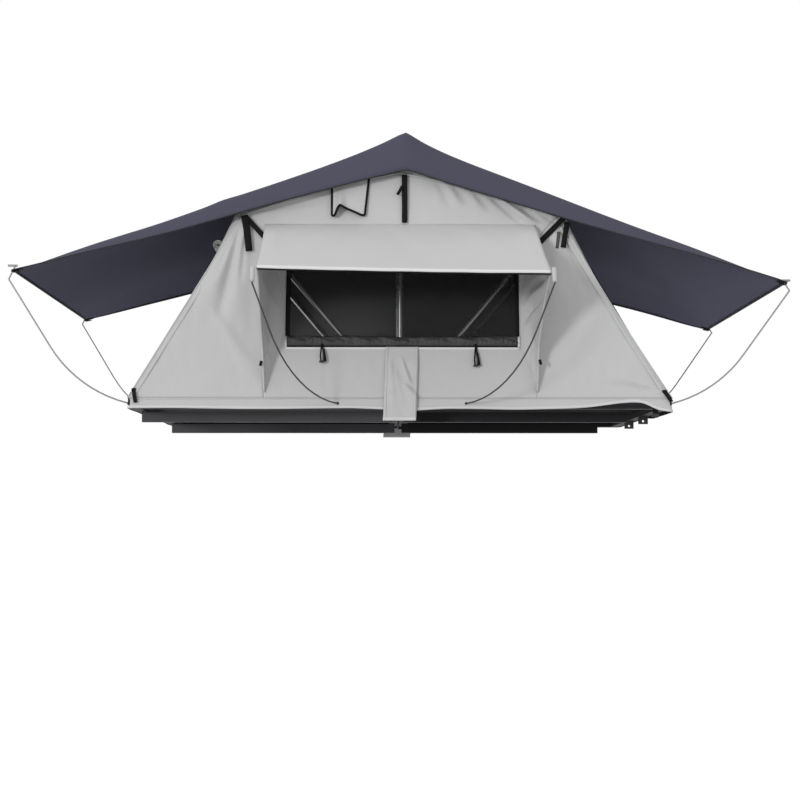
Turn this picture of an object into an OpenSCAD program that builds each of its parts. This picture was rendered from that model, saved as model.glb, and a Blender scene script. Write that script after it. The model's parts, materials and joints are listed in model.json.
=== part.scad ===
// Soft-shell roof top tent, opened out. Millimetres, +Z up, and the long window side faces -Y.
// The fixed half lies towards -X, and the other half folds over it about the fold line.
// The origin is the middle of the rack slots, on the underside of the fixed half's rails.

/* [Base] */
// Length of one half, from the fold line to the frame's outer end
half_length = 1190; // [1150:5:1250]
// Depth of the base frame, front to back
base_depth = 1380; // [1300:10:1460]
// Gap between the two halves at the fold line
fold_gap = 6; // [4:1:10]
// Width of the frame's tube
frame_w = 30; // [28:1:36]
// Height of the frame's tube
frame_h = 50; // [46:1:56]
// Width of the ledge that carries the floor panel
ledge_w = 15; // [10:1:25]
// Thickness of the floor panel
panel_t = 20; // [15:1:22]
// Thickness of the mattress
mattress_t = 50; // [40:1:55]

/* [Rails] */
// Height of the rails below the frame
rail_h = 45; // [40:1:55]
// Width of a rail
rail_w = 40; // [34:1:50]
// Wall of a rail
rail_wall = 4; // [3:0.5:5]
// Distance of each rail from the middle line
rail_y = 450; // [380:10:500]
// Distance between a rail's end and the frame's end
rail_inset = 15; // [5:1:25]
// How far the folding half's rails stop short of the frame's outer end
stiffener_inset = 150; // [120:5:180]
// Width of a rack slot
slot_w = 9; // [7:0.5:11]
// Length of a rack slot, end to end
slot_len = 200; // [120:10:240]
// Distance between the two slots of one rail
slot_pitch = 700; // [600:10:760]
// Distance from the middle of the slots to the fold line
rack_to_fold = 600; // [580:5:620]

/* [Hinge and bows] */
// Height of the fold axis above the frame
axis_rise = 95; // [90:1:110]
// Thickness of a hinge leaf
leaf_t = 5; // [4:0.5:6]
// Diameter of the hinge pin
pin_d = 12; // [10:0.5:14]
// Outer diameter of a bow's tube
tube_d = 22; // [20:0.5:24]
// Wall of a bow's tube
tube_wall = 1.5; // [1:0.25:2.5]
// Radius of a bow's two bends, at the middle of the tube
bend_r = 60; // [50:5:80]
// Height of a side bow's pivot above the frame
pivot_rise = 18; // [18:0.5:22]
// Distance of a side bow's pivot from the fold line
pivot_x = 45; // [40:1:60]
// Angle of a side bow above the base
bow_angle = 50; // [47:0.5:53]
// Reach of a side bow, from its pivot to the middle of its crossbar
side_reach = 1060; // [1030:5:1090]
// Reach of the middle bow, from the fold axis to the middle of its crossbar
mid_reach = 1015; // [990:5:1040]
// Diameter of a side bow's pivot pin
bow_pin_d = 8; // [6:0.5:9]

/* [Canvas] */
// Thickness of the canvas
cloth_t = 2; // [1.5:0.25:3]
// Height of the skirt over the edge of the base
skirt_h = 62; // [56:1:70]
// Drop from the top of a side bow to the corner of the front wall
side_drop = 45; // [35:1:60]
// Drop from the top of the middle bow to the top of the front wall
mid_drop = 120; // [105:1:135]
// Depth of the folds below the left shoulder
fold_depth = 9; // [0:0.5:12]

/* [Window and awning] */
// Left edge of the window, from the fold line
window_left = 505; // [470:1:520]
// Right edge of the window, from the fold line
window_right = 526; // [480:1:560]
// Height of the window's lower edge above the frame
window_sill = 225; // [210:5:250]
// Height of the window opening
window_h = 480; // [430:5:500]
// Height of the gathered strip along the sill
gather_h = 46; // [40:1:70]
// Height of the awning's seam above the frame
awning_rise = 774; // [760:2:790]
// How far the awning stands out from the wall
awning_out = 500; // [440:5:520]
// How far the awning falls from its seam to its outer edge
awning_fall = 285; // [260:1:320]

/* [Fly] */
// Half the length of the fly, to its corners
fly_half = 1686; // [1640:2:1710]
// Depth of the fly, front to back
fly_depth = 1520; // [1490:5:1560]
// Height of the ridge pole above the middle bow
ridge_rise = 105; // [95:1:115]
// Diameter of the ridge pole
ridge_d = 16; // [14:1:20]
// Length of the ridge pole, over which the fly lies straight
ridge_len = 1040; // [1000:10:1100]
// Height of the fly above the canvas over the left bow
left_fly_gap = 94; // [80:1:105]
// Height of the fly above the canvas over the right bow
right_fly_gap = 69; // [55:1:80]
// How far the front and back edges hang below the ridge
valance = 236; // [220:1:245]

/* [Rods] */
// Diameter of a spring rod
rod_d = 7; // [5:0.5:8]
// How deep a rod goes into its socket
socket_depth = 45; // [35:1:50]
// Angle of the fly rods' sockets above the base
fly_rod_rise = 14; // [12:1:18]
// Radius of the fly rods' bend
fly_rod_bend = 550; // [480:10:600]
// Angle of the awning rods' sockets above the base
awning_rod_rise = 2; // [0:1:6]
// Radius of the awning rods' bend
awning_rod_bend = 600; // [560:10:620]
// Left awning rod's place, from the fold line
awning_rod_left = 270; // [260:1:272]
// Right awning rod's place, from the fold line
awning_rod_right = 284; // [282:1:296]

/* [Hidden] */
$fn = 48;

// Clearances
fit_gap = 0.3;
run_gap = 0.05;
cloth_gap = 0.4;
slide_gap = 0.1;

// Levels of the base
frame_top = rail_h + frame_h;
panel_z = frame_top - panel_t;
half_depth = base_depth / 2;
axis_z = frame_top + axis_rise;
pivot_z = frame_top + pivot_rise;

// The row of hinge and bow pieces across the depth, from the side bows inwards
side_leg_y = half_depth - frame_w / 2;
bow_spacing = 4;
mid_leg_y = side_leg_y - tube_d - bow_spacing;
eye_t = 16;
eye_play = 0.5;
leaf_spacing = 2;
left_leaf_y = mid_leg_y - tube_d / 2 - leaf_spacing - leaf_t;
right_leaf_y = left_leaf_y - leaf_spacing - leaf_t;
leaf_eye_r = 22;
leaf_foot_in = 2;
leaf_foot_t = 5;
leaf_foot_y0 = right_leaf_y - 18;
leaf_foot_y1 = left_leaf_y + leaf_t + 20;
pin_head_t = 4;
pin_head_d = pin_d + 8;
ear_t = 4;
ear_r = bow_pin_d / 2 + 9;
bracket_t = 4;
bracket_half = 24;
foot_eye_r = bow_pin_d / 2 + 8;
foot_len = 26;
foot_collar = 6;
spigot_len = 40;
mattress_half = right_leaf_y - 12;

// Bolts that hold the hinge leaves and the bow brackets
bolt_d = 6;
bolt_head_d = 10;
bolt_head_h = 4;
bolt_len = 24;

// Layers outside the frame: edge trim, then the canvas
trim_out = 7.6;
wall_in = 8;
wall_out = wall_in + cloth_t;
wall_y = half_depth + wall_out;
end_x = half_length + wall_out;
wall_z = rail_h + skirt_h + cloth_gap;
trim_low = 15;
trim_high = 3;

// Outline of the canvas over the bows
crest_gap = tube_d / 2 + cloth_t + 3;
side_top = side_reach + crest_gap;
mid_top = axis_z + mid_reach + crest_gap;
bend_y = side_leg_y - bend_r;
cloth_y = half_depth + wall_in - cloth_gap;
shoulder_x = pivot_x + (side_top - side_drop) * cos(bow_angle);
shoulder_z = pivot_z + (side_top - side_drop) * sin(bow_angle);
mid_edge_z = mid_top - mid_drop;

// Window and awning
sill_z = frame_top + window_sill;
window_top = sill_z + window_h;
awning_z = frame_top + awning_rise;
awning_seam_x = [-600, 600];
awning_edge_x = [-589, 610];
awning_edge_z = awning_z - awning_fall;
awning_edge_y = -(wall_y + awning_out);
awning_slope = unit([awning_out, awning_fall]);

// Fly
ridge_z = axis_z + mid_reach + ridge_rise;
fly_top = ridge_z + ridge_d / 2 + 3 * cloth_gap + cloth_t;
fly_y = fly_depth / 2;
fly_hollow = 22;
fly_round = 0.02;

// Rods
sleeve_d = rod_d + 6;
sleeve_out = 14;
sleeve_tail = 6;
rod_straight = 16;
rod_offset = 12;
socket_z = rail_h + 22;
knee_out = 32;
knee_down = 41;
right_knee_lift = 14;
tip_in = 28;
tip_over = 19;
ferrule_in = 9;
ferrule_out = 32;
ferrule_d = rod_d + 3;
awning_knee_out = [20, 14];
awning_knee_down = 62;
awning_tip_out = 14;

// Plain helpers
function mix(a, b, t) = a + (b - a) * t;
function steps(a, b, n) = [for (i = [0:n]) a + (b - a) * i / n];
function unit(v) = v / norm(v);

module at_fold() translate([rack_to_fold, 0, 0]) children();

module half(s) {
  at_fold() {
    if (s < 0) mirror([1, 0, 0]) children();
    else children();
  }
}

module both_ends() {
  children();
  mirror([0, 1, 0]) children();
}

module stick(a, b, d) {
  v = b - a;
  translate(a)
    rotate([0, acos(v.z / norm(v)), atan2(v.y, v.x)])
      cylinder(h = norm(v), d = d);
}

// A sheet from two grids of points, its outer and its inner face, each with (nu + 1) * (nv + 1) points.
// hole is a block of cells left open: [first u, end u, first v, end v].
function is_open(i, j, nu, nv, hole) =
  i < 0 || j < 0 || i >= nu || j >= nv ||
  (len(hole) == 4 && i >= hole[0] && i < hole[1] && j >= hole[2] && j < hole[3]);

module sheet(outer, inner, nu, nv, hole = [], flip = false) {
  m = len(outer);
  faces = [for (i = [0:nu - 1], j = [0:nv - 1]) if (!is_open(i, j, nu, nv, hole))
    let (a = i * (nv + 1) + j, b = a + nv + 1, c = b + 1, d = a + 1)
    each concat(
      [[a, d, c], [a, c, b], [m + a, m + b, m + c], [m + a, m + c, m + d]],
      is_open(i, j - 1, nu, nv, hole) ? [[a, b, m + b], [a, m + b, m + a]] : [],
      is_open(i + 1, j, nu, nv, hole) ? [[b, c, m + c], [b, m + c, m + b]] : [],
      is_open(i, j + 1, nu, nv, hole) ? [[c, d, m + d], [c, m + d, m + c]] : [],
      is_open(i - 1, j, nu, nv, hole) ? [[d, a, m + a], [d, m + a, m + d]] : [])];
  turned = flip ? [for (f = faces) [f[2], f[1], f[0]]] : faces;
  polyhedron(concat(outer, inner), turned);
}

// Base halves, drawn for the right one and mirrored for the left

module plan(inset) {
  translate([fold_gap / 2 + inset, inset - half_depth])
    square([half_length - fold_gap / 2 - 2 * inset, base_depth - 2 * inset]);
}

// A band round the three outer sides of a half
module band(from, to) {
  difference() {
    translate([fold_gap / 2, -half_depth - to])
      square([half_length + to - fold_gap / 2, base_depth + 2 * to]);
    translate([0, -half_depth - from])
      square([half_length + from, base_depth + 2 * from]);
  }
}

function bolt_places() = let (foot_x = fold_gap / 2 + frame_w / 2, edge = 8)
  [[foot_x, leaf_foot_y0 + edge, leaf_foot_t], [foot_x, leaf_foot_y1 - edge, leaf_foot_t],
   [pivot_x - bracket_half + 6, side_leg_y, bracket_t],
   [pivot_x + bracket_half - 6, side_leg_y, bracket_t]];

module bolt_holes() {
  both_ends() for (p = bolt_places())
    translate([p.x, p.y, frame_top - bolt_len - 1])
      cylinder(h = bolt_len + 20, d = bolt_d + 2 * slide_gap);
}

module base_frame(s) {
  color("dimgray") half(s) difference() {
    union() {
      translate([0, 0, rail_h]) linear_extrude(frame_h) difference() {
        plan(0);
        plan(frame_w);
      }
      translate([0, 0, rail_h]) linear_extrude(panel_z - rail_h) difference() {
        plan(frame_w);
        plan(frame_w + ledge_w);
      }
    }
    bolt_holes();
    socket_holes(s);
  }
}

module floor_panel(s) {
  color([0.2, 0.2, 0.22]) half(s) translate([0, 0, panel_z]) linear_extrude(panel_t)
    plan(frame_w + fit_gap);
}

// A foam slab with a crown and with sides drawn in between the corners
module mattress(s) {
  nu = 10;
  nv = 10;
  x0 = fold_gap / 2 + frame_w + 6;
  x1 = half_length - 25;
  draw_in = 9;
  crown = 12;
  outline = [for (u = steps(-1, 1, nu), v = steps(-1, 1, nv))
    [mix(x0, x1, (u + 1) / 2) - draw_in * u * (1 - v * v), v * (mattress_half - draw_in * (1 - u * u))]];
  top = [for (k = [0:len(outline) - 1])
    let (u = 2 * floor(k / (nv + 1)) / nu - 1, v = 2 * (k % (nv + 1)) / nv - 1)
    [outline[k].x, outline[k].y, frame_top + mattress_t - crown * max(pow(u, 6), pow(v, 6))]];
  bottom = [for (p = outline) [p.x, p.y, frame_top + fit_gap]];
  color([0.32, 0.34, 0.37]) half(s) sheet(top, bottom, nu, nv);
}

// Channels below each half, open at both ends
module rails(s, slotted) {
  x0 = fold_gap / 2 + rail_inset;
  length = half_length - (slotted ? rail_inset : stiffener_inset) - x0;
  color([0.22, 0.22, 0.23]) half(s) for (y = [-rail_y, rail_y]) difference() {
    translate([x0, y - rail_w / 2, 0]) cube([length, rail_w, rail_h]);
    translate([x0 - 1, y - rail_w / 2 + rail_wall, rail_wall])
      cube([length + 2, rail_w - 2 * rail_wall, rail_h]);
    if (slotted) for (x = [-slot_pitch / 2, slot_pitch / 2])
      translate([rack_to_fold + x, y, -1]) slot(rail_wall + 2);
  }
}

module slot(h) {
  run = slot_len - slot_w;
  translate([-run / 2, -slot_w / 2, 0]) cube([run, slot_w, h]);
  for (x = [-run / 2, run / 2])
    translate([x, 0, 0]) cylinder(h = h, d = slot_w);
}

module edge_trim(s) {
  color([0.15, 0.15, 0.16]) half(s) difference() {
    translate([0, 0, rail_h + trim_low])
      linear_extrude(frame_h - trim_low - trim_high) band(0, trim_out);
    socket_holes(s);
  }
}

module skirt(s) {
  color([0.72, 0.72, 0.72]) half(s) difference() {
    translate([0, 0, rail_h]) linear_extrude(skirt_h) band(wall_in, wall_out);
    socket_holes(s);
  }
}

module corner_tabs(s) {
  tab_w = 24;
  tab_h = 58;
  tab_t = 2;
  color([0.06, 0.06, 0.06]) half(s) both_ends()
    translate([end_x - 46, wall_y + cloth_gap, rail_h + skirt_h - tab_h + 16])
      cube([tab_w, tab_t, tab_h]);
}

// Hinge

module leaf_plate(y) {
  foot_x0 = fold_gap / 2 + leaf_foot_in;
  foot_x1 = fold_gap / 2 + frame_w;
  difference() {
    union() {
      translate([0, y + leaf_t, 0]) rotate([90, 0, 0]) linear_extrude(leaf_t) {
        polygon([[foot_x0, frame_top], [foot_x1, frame_top], [leaf_eye_r, axis_z],
          [-leaf_eye_r, axis_z]]);
        translate([0, axis_z]) circle(leaf_eye_r);
      }
      translate([foot_x0, leaf_foot_y0, frame_top])
        cube([foot_x1 - foot_x0, leaf_foot_y1 - leaf_foot_y0, leaf_foot_t]);
    }
    translate([0, y - 1, axis_z]) rotate([-90, 0, 0])
      cylinder(h = leaf_t + 2, d = pin_d + 2 * run_gap);
  }
}

module hinge_leaves(s) {
  color("gainsboro") half(s) difference() {
    both_ends() leaf_plate(s < 0 ? left_leaf_y : right_leaf_y);
    bolt_holes();
  }
}

module hinge_pins() {
  inner = right_leaf_y - eye_play;
  outer = mid_leg_y + eye_t / 2 + eye_play;
  color("silver") at_fold() both_ends() translate([0, 0, axis_z]) rotate([-90, 0, 0]) {
    translate([0, 0, inner - pin_head_t])
      cylinder(h = outer - inner + 2 * pin_head_t, d = pin_d);
    translate([0, 0, inner - pin_head_t]) cylinder(h = pin_head_t, d = pin_head_d);
    translate([0, 0, outer]) cylinder(h = pin_head_t, d = pin_head_d);
  }
}

module hinge_bolts(s) {
  color("silver") half(s) both_ends() for (p = bolt_places())
    translate([p.x, p.y, frame_top - bolt_len]) {
      cylinder(h = bolt_len + p.z + 1, d = bolt_d);
      translate([0, 0, bolt_len + p.z]) cylinder(h = bolt_head_h, d = bolt_head_d);
    }
}

// Bows

module bow_brackets(s) {
  inner = eye_t / 2 + eye_play;
  color("dimgray") half(s) difference() {
    both_ends() translate([pivot_x, side_leg_y, 0]) {
      translate([-bracket_half, -inner - ear_t, frame_top])
        cube([2 * bracket_half, 2 * (inner + ear_t), bracket_t]);
      for (y = [-inner - ear_t, inner]) difference() {
        translate([0, y + ear_t, 0]) rotate([90, 0, 0]) linear_extrude(ear_t) {
          translate([-ear_r, frame_top]) square([2 * ear_r, pivot_rise]);
          translate([0, pivot_z]) circle(ear_r);
        }
        translate([0, y - 1, pivot_z]) rotate([-90, 0, 0])
          cylinder(h = ear_t + 2, d = bow_pin_d + 2 * run_gap);
      }
    }
    bolt_holes();
  }
}

module bow_pins(s) {
  reach = eye_t / 2 + eye_play + ear_t + fit_gap;
  head_t = 2.2;
  head_d = bow_pin_d + 4;
  color("silver") half(s) both_ends()
    translate([pivot_x, side_leg_y, pivot_z]) rotate([-90, 0, 0]) {
      translate([0, 0, -reach]) cylinder(h = 2 * reach, d = bow_pin_d);
      for (z = [-reach - head_t, reach]) translate([0, 0, z]) cylinder(h = head_t, d = head_d);
    }
}

module pipe(h) {
  difference() {
    cylinder(h = h, d = tube_d);
    translate([0, 0, -1]) cylinder(h = h + 2, d = tube_d - 2 * tube_wall);
  }
}

// A bow stands upright in its own frame, with its pivot at the origin
module bow_tube(reach, leg_y) {
  leg_top = reach - bend_r;
  both_ends() {
    translate([0, leg_y, foot_len]) pipe(leg_top - foot_len);
    translate([0, leg_y - bend_r, leg_top]) rotate([90, 0, 90])
      rotate_extrude(angle = 90) translate([bend_r, 0]) difference() {
        circle(d = tube_d);
        circle(d = tube_d - 2 * tube_wall);
      }
  }
  translate([0, bend_r - leg_y, reach]) rotate([-90, 0, 0]) pipe(2 * (leg_y - bend_r));
}

module bow_feet(leg_y, bore) {
  neck_d = eye_t - 1;
  both_ends() translate([0, leg_y, 0]) difference() {
    union() {
      translate([0, eye_t / 2, 0]) rotate([90, 0, 0])
        cylinder(h = eye_t, r = foot_eye_r + (bore - bow_pin_d) / 2);
      cylinder(h = foot_len, d = neck_d);
      translate([0, 0, foot_len - foot_collar]) cylinder(h = foot_collar, d = tube_d);
      translate([0, 0, foot_len - foot_collar])
        cylinder(h = foot_collar + spigot_len, d = tube_d - 2 * tube_wall - 2 * slide_gap);
    }
    translate([0, eye_t / 2 + 1, 0]) rotate([90, 0, 0])
      cylinder(h = eye_t + 2, d = bore + 2 * run_gap);
  }
}

module side_bow(s) {
  half(s) translate([pivot_x, 0, pivot_z]) rotate([0, 90 - bow_angle, 0]) children();
}

module mid_bow() at_fold() translate([0, 0, axis_z]) children();

module bow_left_tube() color("silver") side_bow(-1) bow_tube(side_reach, side_leg_y);
module bow_left_feet() color("dimgray") side_bow(-1) bow_feet(side_leg_y, bow_pin_d);
module bow_right_tube() color("silver") side_bow(1) bow_tube(side_reach, side_leg_y);
module bow_right_feet() color("dimgray") side_bow(1) bow_feet(side_leg_y, bow_pin_d);
module bow_mid_tube() color("silver") mid_bow() bow_tube(mid_reach, mid_leg_y);
module bow_mid_feet() color("dimgray") mid_bow() bow_feet(mid_leg_y, pin_d);

// Posts that stand on the roof above the middle bow and carry the ridge pole
post_y = 330;

module ridge_posts() {
  post_d = 14;
  saddle = [44, 30, 6];
  foot = crest_gap + cloth_gap;
  color([0.12, 0.12, 0.12]) mid_bow() both_ends() difference() {
    translate([0, post_y, mid_reach + foot]) {
      cylinder(h = ridge_rise - foot, d = post_d);
      translate([-saddle.x / 2, -saddle.y / 2, 0]) cube(saddle);
      translate([0, -saddle.y / 2, ridge_rise - foot]) rotate([-90, 0, 0])
        cylinder(h = saddle.y, d = ridge_d + 8);
    }
    translate([0, post_y - saddle.y, mid_reach + ridge_rise]) rotate([-90, 0, 0])
      cylinder(h = 2 * saddle.y, d = ridge_d + 2 * slide_gap);
    translate([-saddle.x, post_y - saddle.y, mid_reach + ridge_rise + ridge_d / 4])
      cube([2 * saddle.x, 2 * saddle.y, ridge_d]);
  }
}

module ridge_pole() {
  color("silver") mid_bow() translate([0, -ridge_len / 2, mid_reach + ridge_rise])
    rotate([-90, 0, 0]) cylinder(h = ridge_len, d = ridge_d);
}

// Rods: each runs up its socket's axis, bends in an upright plane and goes on straight to a knee,
// and from there a short tip turns back to the cloth. A fly rod's tip carries a level ferrule.

// How far the fly has fallen, from 0 at the ridge to 1 at its end
function fly_fall(a) = sqrt(a * a + fly_round * fly_round) - fly_round * (1 - a);

// The fly's corners lie where it clears the canvas over a side bow by its gap
function corner_z(s) =
  let (crest = side_crest(s, 0), clear_z = crest.z + (s < 0 ? left_fly_gap : right_fly_gap))
  fly_top - (fly_top - clear_z) / fly_fall(abs(crest.x) / (fly_half - fly_hollow));
function rod_y(s) = side_leg_y - 1 - (s < 0 ? 0 : rod_offset);
function tip_y(s) = fly_y - 12 - (s < 0 ? 0 : rod_offset);
function fly_rod_foot(s, f) = [half_length, f * rod_y(s), socket_z];
function fly_knee_z(s) = corner_z(s) - knee_down + (s < 0 ? 0 : right_knee_lift);
function fly_rod_knee(s, f) = [fly_half + knee_out, f * tip_y(s), fly_knee_z(s)];
function fly_rod_tip(s, f) = [fly_half + knee_out - tip_in, f * tip_y(s), corner_z(s) + tip_over];
function awning_rod_x(s) = s < 0 ? awning_rod_left : awning_rod_right;
function awning_corner_x(s) = s < 0 ? -awning_edge_x[0] : awning_edge_x[1];
function awning_rod_foot(s) = [awning_rod_x(s), -half_depth, socket_z];
function awning_rod_knee(s) =
  [awning_corner_x(s) + awning_knee_out[s < 0 ? 0 : 1], awning_edge_y - 3,
    awning_edge_z - awning_knee_down];
function awning_rod_tip(s) = [awning_corner_x(s) + awning_tip_out, awning_edge_y - 5, awning_edge_z - 2];

// The angle, seen from above, at which a rod leaves its socket
function rod_heading(foot, knee) = atan2(knee.y - foot.y, knee.x - foot.x);

module along_socket(foot, knee, rise) {
  translate(foot) rotate([0, 0, rod_heading(foot, knee)]) rotate([0, 90 - rise, 0]) children();
}

module each_socket(s) {
  for (f = [-1, 1])
    along_socket(fly_rod_foot(s, f), fly_rod_knee(s, f), fly_rod_rise) children();
  along_socket(awning_rod_foot(s), awning_rod_knee(s), awning_rod_rise) children();
}

module socket_holes(s) {
  each_socket(s) translate([0, 0, -socket_depth - sleeve_tail - 1])
    cylinder(h = socket_depth + sleeve_tail + sleeve_out + 20, d = sleeve_d + 2 * slide_gap);
}

module rod_sockets(s) {
  color([0.1, 0.1, 0.1]) half(s) each_socket(s) difference() {
    translate([0, 0, -socket_depth - sleeve_tail])
      cylinder(h = socket_depth + sleeve_tail + sleeve_out, d = sleeve_d);
    translate([0, 0, -socket_depth - slide_gap])
      cylinder(h = socket_depth + sleeve_out + 1, d = rod_d + 2 * slide_gap);
  }
}

// A round bar along a line of points, mitred at each of them
bar_sides = 12;
function bar_next(ring, from, to, beyond) =
  let (d = unit(to - from), m = beyond == undef ? d : unit(d + unit(beyond - to)))
  [for (q = ring) q + d * ((to - q) * m) / (d * m)];
function bar_rings(points, ring, k = 0) = let (last = len(points) - 1)
  k == last ? [ring] :
  concat([ring], bar_rings(points,
    bar_next(ring, points[k], points[k + 1], k + 1 < last ? points[k + 2] : undef), k + 1));

module bar(points, d) {
  n = bar_sides;
  end = n * (len(points) - 1);
  ahead = unit(points[1] - points[0]);
  side = unit(cross([0, 0, 1], ahead));
  up = cross(ahead, side);
  first = [for (a = [0:n - 1]) points[0] + d / 2 * (cos(360 * a / n) * side + sin(360 * a / n) * up)];
  faces = concat(
    [for (k = [1:n - 2]) each [[0, k, k + 1], [end, end + k + 1, end + k]]],
    [for (i = [0:n:end - n], k = [0:n - 1]) let (a = i + k, b = i + (k + 1) % n)
      each [[a, a + n, b + n], [a, b + n, b]]]);
  polyhedron([for (r = bar_rings(points, first)) each r], faces);
}

// A rod up its socket, round its bend, on to the knee and the tip
module spring_rod(foot, knee, tip, rise, bend) {
  bends = 10;
  run = norm([knee.x - foot.x, knee.y - foot.y]);
  ahead = [knee.x - foot.x, knee.y - foot.y, 0] / run;
  centre = rod_straight * [cos(rise), sin(rise)] + bend * [-sin(rise), cos(rise)];
  away = [run, knee.z - foot.z] - centre;
  end_rise = atan2(away.y, away.x) + asin(bend / norm(away));
  line = concat([-socket_depth * [cos(rise), sin(rise)]],
    [for (e = steps(rise, end_rise, bends)) centre + bend * [sin(e), -cos(e)]]);
  bar(concat([for (p = line) foot + p.x * ahead + [0, 0, p.y]], [knee, tip]), rod_d);
}

module fly_rod(s, f) {
  color("gray") half(s) {
    spring_rod(fly_rod_foot(s, f), fly_rod_knee(s, f), fly_rod_tip(s, f), fly_rod_rise, fly_rod_bend);
    translate(fly_rod_tip(s, f) - [ferrule_in, 0, 0]) rotate([0, 90, 0])
      cylinder(h = ferrule_in + ferrule_out, d = ferrule_d);
  }
}

module awning_rod(s) {
  color([0.25, 0.25, 0.26]) half(s)
    spring_rod(awning_rod_foot(s), awning_rod_knee(s), awning_rod_tip(s), awning_rod_rise,
      awning_rod_bend);
}

// Canvas

// How high the cloth stands across the depth, as a share of its drop beside the bends
function bend_share(y) = let (q = (abs(y) - bend_y) / (cloth_y - bend_y))
  q <= 0 ? 0 : 1 - sqrt(max(0, 1 - q * q));

// The line where the roof meets an end wall, over a side bow, and the line over the middle bow
function side_crest(s, y) = let (r = side_top - side_drop * bend_share(y))
  [s * (pivot_x + r * cos(bow_angle)), y, pivot_z + r * sin(bow_angle)];
function mid_crest(y) = [0, y, mid_top - mid_drop * bend_share(y)];

// Places across the depth: close together round the bends, even between them
crest_turn = [30, 60, 90];
flat_cells = 8;
cross_y = concat(
  [for (k = [2:-1:0]) -mix(bend_y, cloth_y, sin(crest_turn[k]))],
  steps(-bend_y, bend_y, flat_cells),
  [for (k = [0:2]) mix(bend_y, cloth_y, sin(crest_turn[k]))]);
cross_cells = len(cross_y) - 1;

// Inward direction of the roof's cloth
function roof_inward(y) = let (q = max(0, (abs(y) - bend_y) / (cloth_y - bend_y)))
  [0, -sign(y) * min(1, q), -sqrt(max(0, 1 - q * q))];

module tent_roof() {
  along = 8;
  sag = 10;
  edge = 0.004;
  outer = [for (y = cross_y, t = steps(edge - 1, 1 - edge, along))
    let (p = mix(mid_crest(y), side_crest(sign(t), y), abs(t)))
    p - [0, 0, sag * 4 * abs(t) * (1 - abs(t)) * (1 - bend_share(y))]];
  inner = [for (k = [0:len(outer) - 1])
    outer[k] + cloth_t * roof_inward(cross_y[floor(k / (along + 1))])];
  color([0.7, 0.7, 0.7]) at_fold() sheet(outer, inner, cross_cells, along, flip = true);
}

// Heights of an end wall's rows, as shares; the doorway lies between the second and the sixth
end_rows = [0, 0.04, 0.23, 0.42, 0.61, 0.8, 0.9, 0.997];
door_rows = [1, 5];
end_slope = unit([end_x - pivot_x - side_top * cos(bow_angle), pivot_z + side_top * sin(bow_angle) - wall_z]);
end_low = wall_z + cloth_t * end_slope.x;
function end_point(s, y, t) = mix([s * end_x, y, end_low], side_crest(s, y), t);

module end_wall(s, doorway) {
  rows = len(end_rows) - 1;
  outer = [for (y = cross_y, t = end_rows) end_point(s, y, t)];
  inner = [for (p = outer) p + cloth_t * [-s * end_slope.y, 0, -end_slope.x]];
  bend_cells = len(crest_turn);
  door = [bend_cells, bend_cells + flat_cells, door_rows[0], door_rows[1]];
  color([0.7, 0.7, 0.7]) at_fold()
    sheet(outer, inner, cross_cells, rows, doorway ? door : [], flip = s < 0);
}

// Front and back walls: upright sheets under the roof's edge
function wall_top(x) = let (a = abs(x))
  a <= shoulder_x ? mix(mid_edge_z, shoulder_z, a / shoulder_x) :
  max(wall_z + 12, mix(shoulder_z, wall_z, (a - shoulder_x) / (end_x - shoulder_x)));

// Folds that run down from the left shoulder
function shoulder_fold(x, z) =
  let (dx = x + shoulder_x, dz = shoulder_z - z, d = norm([dx, dz]), a = atan2(dx, dz),
    near = 240, far = 700, spread = 45, waves = 5, room = 90,
    fade = max(0, min(1, (awning_seam_x[0] - x) / room)))
  d < near || d > far || abs(a) > spread ? 0 :
  fade * fold_depth * sin(180 * (d - near) / (far - near)) * cos(90 * a / spread)
    * (0.5 + 0.5 * cos(waves * 180 * a / spread));

module wall(front) {
  side_cells = front ? 11 : 5;
  window_cells = front ? 8 : 6;
  rows_low = front ? 4 : 2;
  rows_window = front ? 5 : 2;
  rows_high = front ? 3 : 2;
  xs = concat(steps(-end_x, -window_left, side_cells),
    [for (k = [1:window_cells]) mix(-window_left, window_right, k / window_cells)],
    [for (k = [1:side_cells]) mix(window_right, end_x, k / side_cells)]);
  rows = rows_low + rows_window + rows_high;
  outer = [for (x = xs, j = [0:rows])
    let (top = wall_top(x), low = min(sill_z, mix(wall_z, top, 0.38)),
      high = min(window_top, mix(wall_z, top, 0.91)),
      z = j <= rows_low ? mix(wall_z, low, j / rows_low) :
        j <= rows_low + rows_window ? mix(low, high, (j - rows_low) / rows_window) :
        mix(high, top, (j - rows_low - rows_window) / rows_high))
    [x, front ? -wall_y - shoulder_fold(x, z) : wall_y, z]];
  inner = [for (p = outer) p + [0, front ? cloth_t : -cloth_t, 0]];
  hole = [side_cells, side_cells + window_cells, rows_low, rows_low + rows_window];
  color([0.72, 0.72, 0.72]) at_fold()
    sheet(outer, inner, len(xs) - 1, rows, front ? hole : [], flip = !front);
}

// Window

module window_screen() {
  screen_t = 1.2;
  color([0.08, 0.08, 0.08]) at_fold()
    translate([-window_left + cloth_gap, -wall_y + cloth_gap, sill_z + cloth_gap])
      cube([window_left + window_right - 2 * cloth_gap, screen_t, window_h - 2 * cloth_gap]);
}

// The screen's cover, gathered along the sill in upright folds
module screen_gather() {
  folds = 15;
  across = folds * 4;
  depth = 8;
  outer = [for (k = [0:across], t = [0, 0.5, 1])
    [mix(-window_left + 4, window_right - 4, k / across),
      -wall_y - cloth_gap - cloth_t - depth * (0.5 + 0.5 * sin(90 * k)) * (1 - 0.5 * abs(2 * t - 1)),
      sill_z + gather_h * t]];
  inner = [for (p = outer) p + [0, cloth_t, 0]];
  color([0.1, 0.1, 0.1]) at_fold() sheet(outer, inner, across, 2);
}

toggle_x = [-345, 333];

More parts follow.
